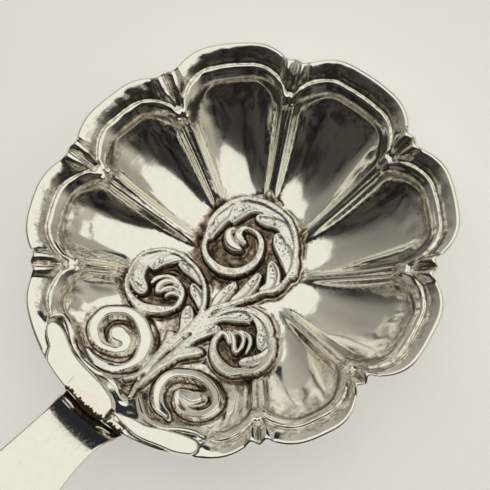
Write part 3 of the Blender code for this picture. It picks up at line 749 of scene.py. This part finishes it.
def disc_position(x, y):
    """Maps a square of half size 1 to a disc, rings to rings: share of the way out and angle."""
    share = np.maximum(np.abs(x), np.abs(y))
    safe = np.where(share > 0.0, share, 1.0)
    east = np.abs(x) >= np.abs(y)
    angle = np.where(x >= 0.0, 45.0 * y / safe, 180.0 - 45.0 * y / safe)
    angle = np.where(~east & (y >= 0.0), 90.0 - 45.0 * x / safe, angle)
    angle = np.where(~east & (y < 0.0), 270.0 + 45.0 * x / safe, angle)
    return share, angle % 360.0


def crowd_notches(angle):
    """Moves even angles closer together at the notches, where the ribs are."""
    notches = np.array([n[0] for n in NOTCHES])
    starts = np.concatenate([[notches[-1] - 360.0], notches, [notches[0] + 360.0]])
    after = np.searchsorted(starts, angle, side="right")
    low = starts[after - 1]
    wide = starts[after] - low
    t = (angle - low) / wide
    return low + wide * (t - CROWDING / (2.0 * math.pi) * np.sin(2.0 * math.pi * t))


def face_position(flat):
    """Share along the bowl's face and angle of points on the flat blank."""
    ring, angle = disc_position(flat[:, 0], flat[:, 1])
    return np.interp(ring, *RING_SHARES), crowd_notches(angle)


def split_corners(mesh):
    """Cuts the faces on the blank's diagonals from the middle out, where its rings turn a corner."""
    for face in [f for f in mesh.faces if len(f.verts) == 4]:
        for first in (0, 1):
            ends = (face.verts[first], face.verts[first + 2])
            if all(abs(abs(v.co.x) - abs(v.co.y)) < 1e-5 for v in ends):
                bmesh.utils.face_split(face, *ends)
                break


def flat_sheet(long_faces, cross_faces, side_cuts):
    """Flat sheet of half size 1: a front at height 0, a back at height -1 and sides that are cut."""
    mesh = bmesh.new()
    bmesh.ops.create_grid(mesh, x_segments=long_faces, y_segments=cross_faces, size=1.0)
    copy = bmesh.ops.duplicate(mesh, geom=mesh.verts[:] + mesh.edges[:] + mesh.faces[:])["geom"]
    for v in [g for g in copy if isinstance(g, bmesh.types.BMVert)]:
        v.co.z = -1.0
    bmesh.ops.reverse_faces(mesh, faces=[g for g in copy if isinstance(g, bmesh.types.BMFace)])
    bmesh.ops.bridge_loops(mesh, edges=[e for e in mesh.edges if e.is_boundary])
    upright = [e for e in mesh.edges if abs(e.verts[0].co.z - e.verts[1].co.z) > 0.5]
    bmesh.ops.subdivide_edges(mesh, edges=upright, cuts=side_cuts, use_grid_fill=True)
    return mesh


def flat_blank(bowl):
    """Flat blank of the bowl, with finer faces where the ornament stands."""
    mesh = flat_sheet(2 * bowl.rings, 2 * bowl.rings, RIM_CUTS)
    top = [f for f in mesh.faces if all(v.co.z > -0.01 for v in f.verts)]
    share, angle = face_position(np.array([f.calc_center_median()[:] for f in top]))
    radius = bowl_surface(bowl, share, angle)[0]
    turn = np.radians(angle)
    lines = ornament() + plain_lines(LIP + STRANDS)
    clear = relief(radius * np.cos(turn), radius * np.sin(turn), lines)[1]
    fine = {e for f, gap in zip(top, clear) if gap < FINE_MARGIN for e in f.edges}
    fine = sorted(fine, key=lambda e: e.index)
    bmesh.ops.subdivide_edges(mesh, edges=fine, cuts=2, use_grid_fill=True)
    bmesh.ops.recalc_face_normals(mesh, faces=mesh.faces[:])
    split_corners(mesh)
    return mesh


def raise_bowl(bowl, flat):
    """Places of the blank's points on the raised bowl, and masks of dirt, stipple and matt."""
    share, angle = face_position(flat)
    depth = -flat[:, 2]
    radius = bowl_surface(bowl, share, angle)[0]
    heel = contours(bowl, angle)[3]
    turn = np.radians(angle)
    x = radius * np.cos(turn)
    y = radius * np.sin(turn)
    raised, clear, stipple, matt = relief(x, y, ornament())
    height = bowl_surface(bowl, share, angle, 1.0 - ease(0.1, 1.3, clear))[1]
    heel_z, heel_clear, heel_matt, heel_dirt = heel_face(bowl, x, y, height)
    open_clear = np.minimum(clear, heel_clear)
    detail, dirt = bowl_detail(bowl, share, angle, radius, open_clear)
    outline = peak(clear - 0.28, 0.3) * (clear > -0.05)
    chased = bowl.relief * raised - OUTLINE_DEPTH * outline
    marks = hammer_marks(x, y, share, angle, radius)
    planished = bowl.planish * marks * ease(0.0, 0.8, open_clear)
    front_z = heel_z + detail + chased + planished
    flared = ease(1.3, 2.0, share) * (1.0 - heel)
    thick = wall(bowl, share, angle) * (1.0 - EDGE_THINNING * flared)
    hollow = HOLLOW_SHARE * bowl.relief * raised * ease(10.0, 12.5, radius)
    folded = FOLD_SHARE * detail * ease(1.0, 1.2, share)
    back_z = np.maximum(height - thick + hollow + planished + folded, 0.0)
    out = bowl.edge_lean * flared * depth + EDGE_ROUND * np.sin(math.pi * depth)
    z = mix(front_z, back_z, depth)
    spots = np.stack([x + out * np.cos(turn), y + out * np.sin(turn), z], axis=1)
    gap_dirt = peak(np.maximum(clear, 0.0), 0.36) * ease(-0.14, 0.04, clear)
    ground_dirt = patina_ground(x, y) * ease(-0.02, 0.15, open_clear)
    recess = np.max([gap_dirt, ground_dirt, dirt, heel_dirt], axis=0)
    front = depth < 0.01
    masks = {
        "recess": np.where(front, recess, BACK_DIRT),
        "stipple": np.where(front, stipple, 0.0),
        "matt": np.where(front, np.maximum(matt, heel_matt), 0.0),
    }
    return spots, masks


def handle_top(bowl, handle, radius, y):
    """Height of the handle's upper face: down the back of the heel, then up and out almost level."""
    angle = 180.0 - np.degrees(np.arcsin(np.clip(y / radius, -1.0, 1.0)))
    edge = bowl.radius + lobe_offset(np.array([180.0]))[0]
    under = np.minimum(radius, edge)
    joint = 2.0 * handle.gap + handle.solder
    lap = heel_back(bowl, under, angle) - joint
    middle = heel_back(bowl, under, np.full_like(radius, 180.0)) - joint
    past = np.maximum(radius - edge, 0.0)
    step_up = handle.joggle * (1.0 - np.exp(-past / handle.joggle_reach))
    lift = handle.rise * (1.0 - np.exp(-past / handle.rise_reach))
    fall = handle.droop * (past / (handle.end - edge)) ** 3
    return mix(middle, lap, np.exp(-past / LAP_FADE)) + step_up + lift - fall


def handle_width(handle, radius):
    """Full width of the handle: waisted past the root, wide and round at the end."""
    narrow = ease(handle.start + ROOT_STRAIGHT, handle.waist_at, radius)
    near = mix(handle.waist_width, handle.root_width, 1.0 - narrow)
    wide = mix(near, handle.end_width, ease(handle.waist_at, handle.end_from, radius))
    t = np.clip((radius - handle.end_from) / (handle.end - handle.end_from), 0.0, 1.0)
    return wide * np.sqrt(1.0 - t ** END_ROUND)


def handle_spots(bowl, handle, flat):
    """Places of a flat strip's points on the handle, in millimetres."""
    depth = -flat[:, 2]
    t = (flat[:, 0] + 1.0) / 2.0
    crowded = np.sin(t * CROWDED_END) / math.sin(CROWDED_END)
    reach = handle.end - END_MARGIN - handle.start
    radius = handle.start + reach * mix(t, crowded, CROWDED_SHARE)
    y = handle.side + flat[:, 1] * handle_width(handle, radius) / 2.0
    x = -np.sqrt(radius ** 2 - y ** 2)
    sideways = 2.0 * (y - handle.side) / handle.end_width
    crown = handle.crown * ease(*CROWN_FROM, radius) * sideways ** 2
    step = 0.05
    ahead = handle_top(bowl, handle, radius + step, y)
    behind = handle_top(bowl, handle, radius - step, y)
    slope = (ahead - behind) / (2.0 * step)
    thick = handle.sheet * np.minimum(np.sqrt(1.0 + slope ** 2), STEEPEST_STRIP)
    z = handle_top(bowl, handle, radius, y) - crown - thick * depth
    swell = STRIP_ROUND * np.sin(math.pi * depth)
    x = x - swell * (flat[:, 0] > 0.999)
    y = y + swell * np.sign(flat[:, 1]) * (np.abs(flat[:, 1]) > 0.999)
    return np.stack([x, y, z], axis=1)


def solder_rows(bowl, handle, v, y):
    """Rows round the solder's section, each a radius and a height across it, and the edge of the heel."""

    def turned(r):
        return 180.0 - np.degrees(np.arcsin(y / r))

    def lip(r):
        share = share_at(bowl, r, turned(r))
        height = bowl_surface(bowl, share, turned(r))[1]
        return heel_face(bowl, -np.sqrt(r ** 2 - y ** 2), y, height)[0]

    def face(r):
        return handle_top(bowl, handle, r, y)

    edge = contours(bowl, turned(np.full_like(v, bowl.radius)))[0]
    inside = edge - SOLDER_HAIR
    whole = 1.0 - peak(y - CRACK_AT, 0.3)
    wavy_tip = 0.7 + 0.3 * np.sin(5.1 * v + 1.0)
    wavy_start = 1.0 + 0.25 * np.sin(7.0 * v)
    tip = edge + 0.03 + handle.fillet * whole * wavy_tip
    begin = edge - 0.05 - handle.flow * whole * wavy_start
    first = np.full_like(v, handle.start + 0.2)
    corner = 0.15
    rows = []
    for t in np.linspace(0.0, 1.0, 6):
        r = mix(first, inside, t)
        rows.append((r, heel_back(bowl, r, turned(r)) - handle.gap))
    rows.append((edge + 0.06, np.full_like(v, bowl.rim_height - 0.3)))
    for t in np.linspace(0.0, 1.0, 4):
        r = mix(inside, begin, t)
        rows.append((r, lip(r) - SOLDER_HAIR))
    for t in np.linspace(0.05, 0.97, 22):
        r = mix(begin, tip, t)
        high = lip(np.minimum(r, inside))
        ramp = np.clip((r - edge + corner) / (tip - edge + corner), 0.0, 1.0) ** 4
        film = SOLDER_FILM * ease(0.0, 0.6, t) * whole - 0.005
        rows.append((r, mix(high, face(r), ramp) + film))
    for t in np.linspace(0.0, 1.0, 7):
        r = mix(tip, first, t)
        rows.append((r, face(r) + handle.gap * t))
    return rows, edge


def skin_rings(mesh, rings):
    """Joins rings of points into a closed skin."""
    for one, two in zip(rings[:-1], rings[1:]):
        for i in range(len(one)):
            j = (i + 1) % len(one)
            mesh.faces.new((one[i], one[j], two[j], two[i]))
    mesh.faces.new(rings[0])
    mesh.faces.new(rings[-1])
    bmesh.ops.triangulate(mesh, faces=[f for f in mesh.faces if len(f.verts) > 4])
    bmesh.ops.recalc_face_normals(mesh, faces=mesh.faces[:])


def add_mask(data, name, values):
    """Stores one number for each point of a mesh, for the material to read."""
    layer = data.attributes.new(name, "FLOAT", "POINT")
    layer.data.foreach_set("value", np.asarray(values, dtype=np.float32))


def points_of(mesh):
    """The points of an edited mesh as a table."""
    return np.array([v.co[:] for v in mesh.verts])


def move_points(mesh, spots):
    """Moves the points of an edited mesh to places in millimetres."""
    for v, spot in zip(mesh.verts, (spots * MM).tolist()):
        v.co = spot


def mesh_data(mesh, name):
    """Turns an edited mesh into mesh data."""
    data = bpy.data.meshes.new(name)
    mesh.to_mesh(data)
    mesh.free()
    return data


def finish_piece(data, name, solid, mat):
    """Links a mesh as a smooth piece that stands for a CAD solid."""
    data.materials.append(mat)
    data.shade_smooth()
    piece = bpy.data.objects.new(name, data)
    bpy.context.scene.collection.objects.link(piece)
    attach(piece, "root")
    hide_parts(solid)


def feed(tree, socket, value):
    """Gives a socket a value, or links another node's output to it."""
    if isinstance(value, bpy.types.NodeSocket):
        tree.links.new(value, socket)
    else:
        socket.default_value = value


def node(tree, kind, label, **sockets):
    """Adds a shader node and feeds its sockets by name, or by number after an underscore."""
    made = tree.nodes.new(kind)
    made.label = label
    made.name = label
    for key, value in sockets.items():
        number = key[1:]
        feed(tree, made.inputs[int(number) if number.isdigit() else key.replace("_", " ")], value)
    return made


def maths(tree, label, operation, first, second, clamp=False):
    """A maths node's result."""
    made = node(tree, "ShaderNodeMath", label, _0=first, _1=second)
    made.operation = operation
    made.use_clamp = clamp
    return made.outputs[0]


def span(tree, label, value, low, high, to_low=0.0, to_high=1.0):
    """Maps the values from low to high to another range, and holds them at its ends outside."""
    ends = {"From_Min": low, "From_Max": high, "To_Min": to_low, "To_Max": to_high}
    return node(tree, "ShaderNodeMapRange", label, Value=value, **ends).outputs[0]


def grain(tree, label, place, scale, detail, rough=0.5):
    """Cloudy noise."""
    look = {"Scale": scale, "Detail": detail, "Roughness": rough}
    return node(tree, "ShaderNodeTexNoise", label, Vector=place, **look).outputs["Fac"]


def blend_colours(tree, label, amount, first, second):
    """Mixes two colours by an amount."""
    made = node(tree, "ShaderNodeMix", label)
    made.data_type = "RGBA"
    for socket, value in ((0, amount), (6, first), (7, second)):
        feed(tree, made.inputs[socket], value)
    return made.outputs[2]


def scratches(tree, place, label, turn, fine):
    """Fine rubbing lines in one direction: 0 between the lines and up to 1 in them."""
    mapped = node(tree, "ShaderNodeMapping", label + " direction", Vector=place)
    mapped.inputs["Rotation"].default_value = (0.0, 0.0, turn)
    mapped.inputs["Scale"].default_value = [fine * stretch for stretch in SCRATCH_STRETCH]
    streaks = grain(tree, label, mapped.outputs[0], scale=1.0, detail=3.0, rough=0.6)
    return span(tree, label + " lines", streaks, 0.58, 0.74)


def worn_silver_group():
    """Old silver: colour with tarnish in recesses, roughness with rubbing, height with dents and dots."""
    group = bpy.data.node_groups.new("worn_silver", "ShaderNodeTree")
    for side, kind, names in (
        ("INPUT", "NodeSocketColor", ("Metal", "Brown", "Tarnish")),
        ("INPUT", "NodeSocketFloat", ("Recess", "Stipple", "Matt", "Polish", "Dents", "Rubbing")),
        ("OUTPUT", "NodeSocketColor", ("Color",)),
        ("OUTPUT", "NodeSocketFloat", ("Roughness", "Height")),
    ):
        for name in names:
            group.interface.new_socket(name, in_out=side, socket_type=kind)
    enter = node(group, "NodeGroupInput", "Settings").outputs
    leave = node(group, "NodeGroupOutput", "Result").inputs
    position = node(group, "ShaderNodeTexCoord", "Position").outputs["Object"]
    scaled = node(group, "ShaderNodeVectorMath", "Position in millimetres", _0=position)
    scaled.operation = "MULTIPLY"
    scaled.inputs[1].default_value = (1.0 / MM, 1.0 / MM, 1.0 / MM)
    place = scaled.outputs[0]

    one_way = scratches(group, place, "Rubbing one way", turn=0.5, fine=1.0)
    other_way = scratches(group, place, "Rubbing the other way", turn=2.2, fine=1.3)
    lines = maths(group, "Rubbing lines", "MAXIMUM", one_way, other_way)
    lines = maths(group, "Rubbing amount", "MULTIPLY", lines, enter["Rubbing"])
    dents = grain(group, "Hammer dents", place, scale=0.3, detail=2.0)
    dents = maths(group, "Dent depth", "MULTIPLY", dents, enter["Dents"])
    dots = grain(group, "Punched dots", place, scale=3.4, detail=2.0, rough=0.7)
    dots = span(group, "Dot edge", dots, 0.53, 0.66)
    dots = maths(group, "Dots where chased", "MULTIPLY", dots, enter["Stipple"])

    cloud = grain(group, "Tarnish cloud", place, scale=1.4, detail=5.0, rough=0.65)
    bare = span(group, "Bare spots in the tarnish", cloud, 0.3, 0.7, to_low=0.8, to_high=0.0)
    dirt = maths(group, "Full tarnish", "MULTIPLY", enter["Recess"], 1.5)
    dirt = maths(group, "Dirt", "SUBTRACT", dirt, bare, clamp=True)
    dot_dirt = maths(group, "Dot dirt", "MULTIPLY", dots, 0.8)
    dirt = maths(group, "Dirt and dots", "ADD", dirt, dot_dirt, clamp=True)
    film = span(group, "Warm film", cloud, 0.45, 0.8, to_high=0.12)
    thin = maths(group, "Thin tarnish", "MULTIPLY", dirt, 1.5, clamp=True)
    thick = maths(group, "Thick tarnish", "POWER", dirt, 2.0, clamp=True)
    shade = blend_colours(group, "Film over metal", film, enter["Metal"], FILM_COLOUR)
    shade = blend_colours(group, "Brown tarnish", thin, shade, enter["Brown"])
    shade = blend_colours(group, "Dark tarnish", thick, shade, enter["Tarnish"])
    crust = maths(group, "Crust", "MULTIPLY", cloud, enter["Recess"])

    def add_up(start, parts):
        for label, mask, amount in parts:
            part = maths(group, label, "MULTIPLY", mask, amount)
            start = maths(group, "With " + label, "ADD", start, part)
        return start

    rough = (("rough dirt", thick, 0.4), ("rough lines", lines, 0.12), ("matt work", enter["Matt"], 0.17))
    rise = (("line depth", lines, -0.05), ("crust height", crust, 1.6), ("dot depth", dots, -0.9))
    group.links.new(shade, leave["Color"])
    group.links.new(add_up(enter["Polish"], rough), leave["Roughness"])
    group.links.new(add_up(dents, rise), leave["Height"])
    return group


def silver_material(name, metal, polish, dents, rubbing, masks):
    """A silver finish: the worn silver group with its own values, and the named masks of the mesh."""
    silver = bpy.context.scene.spoon_silver
    mat = bpy.data.materials.new(name)
    mat.use_nodes = True
    tree = mat.node_tree
    shader = tree.nodes["Principled BSDF"]
    shader.inputs["Metallic"].default_value = 1.0
    wear = tree.nodes.new("ShaderNodeGroup")
    wear.node_tree = bpy.data.node_groups.get("worn_silver") or worn_silver_group()
    for socket, shade in (("Metal", metal), ("Brown", silver.brown), ("Tarnish", silver.tarnish)):
        wear.inputs[socket].default_value = (*shade, 1.0)
    for socket, value in (("Polish", polish), ("Dents", dents), ("Rubbing", rubbing)):
        wear.inputs[socket].default_value = value
    for mask in masks:
        reader = node(tree, "ShaderNodeAttribute", "Mask of " + mask)
        reader.attribute_name = mask
        tree.links.new(reader.outputs["Fac"], wear.inputs[mask.capitalize()])
    bump = node(tree, "ShaderNodeBump", "Wear", Distance=WEAR_DEPTH * MM, Height=wear.outputs["Height"])
    tree.links.new(wear.outputs["Color"], shader.inputs["Base Color"])
    tree.links.new(wear.outputs["Roughness"], shader.inputs["Roughness"])
    tree.links.new(bump.outputs["Normal"], shader.inputs["Normal"])
    return mat


class SPOON_OT_bowl(bpy.types.Operator):
    """Raises the lobed bowl with its flutes, bead, ribs and chased scrolls"""

    bl_idname = "spoon.bowl"
    bl_label = "Bowl"

    def execute(self, context):
        bowl = in_mm(context.scene.spoon_bowl)
        silver = context.scene.spoon_silver
        mesh = flat_blank(bowl)
        spots, masks = raise_bowl(bowl, points_of(mesh))
        move_points(mesh, spots)
        bmesh.ops.triangulate(mesh, faces=mesh.faces[:], quad_method="SHORT_EDGE")
        data = mesh_data(mesh, "bowl_sheet")
        for name, values in masks.items():
            add_mask(data, name, values)
        polish = silver.polish
        mat = silver_material("bowl_silver", silver.silver, polish, dents=0.6, rubbing=0.6, masks=masks)
        finish_piece(data, "bowl_sheet", "bowl", mat)
        return {"FINISHED"}


class SPOON_OT_handle(bpy.types.Operator):
    """Forms the plain waisted handle"""

    bl_idname = "spoon.handle"
    bl_label = "Handle"

    def execute(self, context):
        bowl = in_mm(context.scene.spoon_bowl)
        handle = in_mm(context.scene.spoon_handle)
        silver = context.scene.spoon_silver
        mesh = flat_sheet(*HANDLE_FACES)
        move_points(mesh, handle_spots(bowl, handle, points_of(mesh)))
        bmesh.ops.recalc_face_normals(mesh, faces=mesh.faces[:])
        data = mesh_data(mesh, "handle_strip")
        polish = HANDLE_POLISH * silver.polish
        mat = silver_material("handle_silver", silver.silver, polish, dents=0.18, rubbing=1.0, masks=())
        finish_piece(data, "handle_strip", "handle", mat)
        return {"FINISHED"}


class SPOON_OT_solder(bpy.types.Operator):
    """Runs the solder between heel and handle"""

    bl_idname = "spoon.solder"
    bl_label = "Solder"

    def execute(self, context):
        bowl = in_mm(context.scene.spoon_bowl)
        handle = in_mm(context.scene.spoon_handle)
        silver = context.scene.spoon_silver
        v = np.linspace(-1.0, 1.0, SOLDER_PLACES)
        y = handle.side + v * (handle.root_width / 2.0 - SOLDER_MARGIN)
        rows, edge = solder_rows(bowl, handle, v, y)
        ripple = 0.5 * np.sin(17.7 * v + 0.5) + 0.4 * np.sin(41.0 * v + 2.0) + 0.3 * np.sin(73.0 * v)
        front = [ease(-0.1, 0.05, r - edge + 0.3 + 0.2 * ripple) for r, z in rows]
        mesh = bmesh.new()
        rings = []
        for i in range(len(v)):
            spots = [(-math.sqrt(r[i] ** 2 - y[i] ** 2), y[i], z[i]) for r, z in rows]
            rings.append([mesh.verts.new((Vector(spot) * MM)[:]) for spot in spots])
        skin_rings(mesh, rings)
        data = mesh_data(mesh, "solder_fillet")
        add_mask(data, "recess", np.stack(front, axis=1).ravel())
        mat = silver_material(
            "solder_silver", silver.solder, SOLDER_POLISH, dents=1.0, rubbing=0.3, masks=("recess",)
        )
        finish_piece(data, "solder_fillet", "solder_seam", mat)
        return {"FINISHED"}


def heading(azimuth, elevation):
    """Direction from the bowl, in degrees round from +X and up from the floor."""
    turn = math.radians(azimuth)
    up = math.radians(elevation)
    return Vector((math.cos(turn) * math.cos(up), math.sin(turn) * math.cos(up), math.sin(up)))


# Directions of the lamp, of the tent's light and open sides, and of a dark card over the front lobe.
LAMP_HEADING = heading(347.0, 70.0)
LIGHT_HEADING = heading(335.0, 0.0)
OPEN_HEADING = heading(205.0, 0.0)
CARD_HEADING = heading(19.0, 19.0)
CARD_COLOUR = (0.02, 0.021, 0.025, 1.0)
ROOM_COLOUR = (0.008, 0.007, 0.007, 1.0)
# Width of the lamp, its distance, the cosine between its middle and its edge, and its light.
LAMP_WIDTH = 1.53
LAMP_DISTANCE = 0.85
LAMP_EDGE = 0.743
LAMP_BRIGHTNESS = 0.92
LAMP_TINT = (1.0, 0.98, 0.89)
# Colours of the tent from its far side to its light side, and of the open side by height.
TENT_BANDS = (
    (-0.95, (0.22, 0.205, 0.19)),
    (-0.6, (0.26, 0.243, 0.215)),
    (-0.1, (0.40, 0.38, 0.325)),
    (0.3, (0.50, 0.475, 0.405)),
    (0.75, (0.50, 0.475, 0.395)),
    (0.9, (0.38, 0.355, 0.295)),
    (1.0, (0.30, 0.275, 0.235)),
)
GLOOM_BANDS = (
    (0.0, (0.17, 0.145, 0.12)),
    (0.2, (0.15, 0.125, 0.10)),
    (0.36, (0.10, 0.085, 0.072)),
    (0.5, (0.065, 0.056, 0.047)),
    (0.8, (0.055, 0.05, 0.045)),
    (0.9, (0.09, 0.083, 0.073)),
)


def softbox(name, direction, distance, size, brightness, tint):
    """A round soft lamp in a direction from the bowl, as bright to look at as brightness."""
    lamp = bpy.data.lights.new(name, "AREA")
    lamp.shape = "DISK"
    lamp.size = size
    lamp.energy = brightness * math.pi * math.pi * size * size / 4.0
    lamp.color = tint
    holder = bpy.data.objects.new(name, lamp)
    holder.location = direction * distance
    holder.rotation_euler = direction.to_track_quat("Z", "Y").to_euler()
    bpy.context.scene.collection.objects.link(holder)


def colour_ramp(tree, label, value, low, high, bands):
    """Colours from bands of (value, colour) between two values."""
    ramp = node(tree, "ShaderNodeValToRGB", label, Fac=span(tree, label + " spread", value, low, high))
    elements = ramp.color_ramp.elements
    while len(elements) < len(bands):
        elements.new(0.5)
    for element, (at, shade) in zip(elements, bands):
        element.position = (at - low) / (high - low)
    for element, (at, shade) in zip(elements, bands):
        element.color = (*shade, 1.0)
    return ramp.outputs["Color"]


def studio_world(stage):
    """The studio: pale to the camera, and in reflections a light tent, open and dark on one side."""
    world = bpy.data.worlds.new("studio")
    bpy.context.scene.world = world
    world.use_nodes = True
    tree = world.node_tree
    tree.nodes.clear()
    where = node(tree, "ShaderNodeTexCoord", "Direction").outputs["Generated"]

    def towards(label, direction):
        made = node(tree, "ShaderNodeVectorMath", label, _0=where, _1=direction[:])
        made.operation = "DOT_PRODUCT"
        return made.outputs["Value"]

    def patch(label, direction, low, high):
        amount = span(tree, label, towards(label + " direction", direction), low, high)
        amount.node.interpolation_type = "SMOOTHSTEP"
        return amount

    light_side = towards("Towards the light side", LIGHT_HEADING)
    upwards = towards("Upwards", Vector((0.0, 0.0, 1.0)))
    tent = colour_ramp(tree, "Tent", light_side, -1.0, 1.0, TENT_BANDS)
    gloom = colour_ramp(tree, "Open side", upwards, 0.0, 1.0, GLOOM_BANDS)
    things = grain(tree, "Things in the room", where, scale=4.5, detail=2.0)
    lit = span(tree, "Lit things", things, 0.4, 0.62)
    gloom = blend_colours(tree, "Dark room", lit, ROOM_COLOUR, gloom)
    opened = patch("Open", OPEN_HEADING, -0.1, 0.45)
    shade = blend_colours(tree, "Tent and open side", opened, tent, gloom)
    card = patch("Card", CARD_HEADING, 0.93, 0.95)
    shade = blend_colours(tree, "With the card", card, shade, CARD_COLOUR)
    lamp = patch("Lamp", LAMP_HEADING, LAMP_EDGE - 0.003, LAMP_EDGE + 0.008)
    shade = blend_colours(tree, "Without the lamp", lamp, shade, (0.0, 0.0, 0.0, 1.0))
    room = node(tree, "ShaderNodeBackground", "Room", Color=shade)
    plain = node(tree, "ShaderNodeBackground", "Plain backdrop", Color=(*stage.floor, 1.0))
    seen = node(tree, "ShaderNodeLightPath", "Seen by the camera").outputs["Is Camera Ray"]
    backgrounds = {"_1": room.outputs[0], "_2": plain.outputs[0]}
    both = node(tree, "ShaderNodeMixShader", "Room or backdrop", _0=seen, **backgrounds)
    node(tree, "ShaderNodeOutputWorld", "World", Surface=both.outputs[0])


def floor_material(stage):
    """A plain pale floor with a faint grain."""
    mat = bpy.data.materials.new("studio_floor")
    mat.use_nodes = True
    tree = mat.node_tree
    shader = tree.nodes["Principled BSDF"]
    shader.inputs["Roughness"].default_value = 0.85
    place = node(tree, "ShaderNodeTexCoord", "Position").outputs["Object"]
    pale = (*stage.floor, 1.0)
    less = (*(FLOOR_GRAIN * c for c in stage.floor), 1.0)
    fleck = grain(tree, "Grain", place, scale=60.0, detail=3.0)
    tone = blend_colours(tree, "Floor tone", fleck, pale, less)
    tree.links.new(tone, shader.inputs["Base Color"])
    tree.links.new(tone, shader.inputs["Emission Color"])
    path = node(tree, "ShaderNodeLightPath", "Rays").outputs
    seen = maths(tree, "Seen or mirrored", "MAXIMUM", path["Is Camera Ray"], path["Is Glossy Ray"])
    glow = maths(tree, "Paleness", "MULTIPLY", seen, stage.paleness)
    tree.links.new(glow, shader.inputs["Emission Strength"])
    return mat


def photo_camera(stage, rim_height):
    """The camera at the photograph's viewing angle."""
    axis = Vector((-math.sin(stage.lean), math.cos(stage.lean), 0.0))
    turn = Matrix.Rotation(stage.tilt, 3, axis) @ Matrix.Rotation(stage.roll, 3, "Z")
    back = turn.transposed()
    camera = bpy.data.objects.new("camera", bpy.data.cameras.new("camera"))
    camera.data.lens = stage.lens
    camera.data.sensor_width = SENSOR_WIDTH
    camera.data.clip_start = 0.01
    aside, above = VIEW_OFFSET
    rim = Vector((0.0, 0.0, rim_height))
    spot = rim + back @ Vector((aside * MM, above * MM, stage.distance))
    camera.matrix_world = Matrix.Translation(spot) @ back.to_4x4()
    return camera


class SPOON_OT_stage(bpy.types.Operator):
    """Lays the floor, hangs the lamp and sets the camera"""

    bl_idname = "spoon.stage"
    bl_label = "Stage"

    def execute(self, context):
        scene = context.scene
        mesh = bmesh.new()
        bmesh.ops.create_grid(mesh, x_segments=4, y_segments=4, size=FLOOR_HALF)
        data = mesh_data(mesh, "floor")
        data.materials.append(floor_material(scene.spoon_stage))
        floor = bpy.data.objects.new("floor", data)
        scene.collection.objects.link(floor)
        studio_world(scene.spoon_stage)
        softbox("overhead_softbox", LAMP_HEADING, LAMP_DISTANCE, LAMP_WIDTH, LAMP_BRIGHTNESS, LAMP_TINT)
        camera = photo_camera(scene.spoon_stage, scene.spoon_bowl.rim_height)
        scene.collection.objects.link(camera)
        scene.camera = camera
        scene.view_settings.view_transform = "Standard"
        return {"FINISHED"}


class SPOON_PT_pieces(bpy.types.Panel):
    """Lists the pieces of the spoon and their sizes"""

    bl_label = "Caddy spoon"
    bl_space_type = "VIEW_3D"
    bl_region_type = "UI"
    bl_category = "Caddy spoon"

    def draw(self, context):
        scene = context.scene
        for group, operators in (
            (scene.spoon_bowl, ("spoon.bowl",)),
            (scene.spoon_handle, ("spoon.handle", "spoon.solder")),
            (scene.spoon_silver, ()),
            (scene.spoon_stage, ("spoon.stage",)),
        ):
            box = self.layout.box()
            for operator in operators:
                box.operator(operator)
            for key in group.bl_rna.properties.keys():
                if key not in PLAIN_KEYS:
                    box.prop(group, key)


CLASSES = (
    BowlSettings,
    HandleSettings,
    SilverSettings,
    StageSettings,
    SPOON_OT_bowl,
    SPOON_OT_handle,
    SPOON_OT_solder,
    SPOON_OT_stage,
    SPOON_PT_pieces,
)
GROUPS = {
    "spoon_bowl": BowlSettings,
    "spoon_handle": HandleSettings,
    "spoon_silver": SilverSettings,
    "spoon_stage": StageSettings,
}


def register():
    """Adds the classes and the settings of a scene."""
    for cls in CLASSES:
        bpy.utils.register_class(cls)
    for name, cls in GROUPS.items():
        setattr(bpy.types.Scene, name, PointerProperty(type=cls))


def unregister():
    """Takes the settings and the classes away."""
    for name in GROUPS:
        delattr(bpy.types.Scene, name)
    for cls in reversed(CLASSES):
        bpy.utils.unregister_class(cls)


def main():
    """Builds every piece and the stage."""
    register()
    bpy.ops.spoon.bowl()
    bpy.ops.spoon.handle()
    bpy.ops.spoon.solder()
    bpy.ops.spoon.stage()
    bpy.context.view_layer.update()


if __name__ == "__main__":
    main()
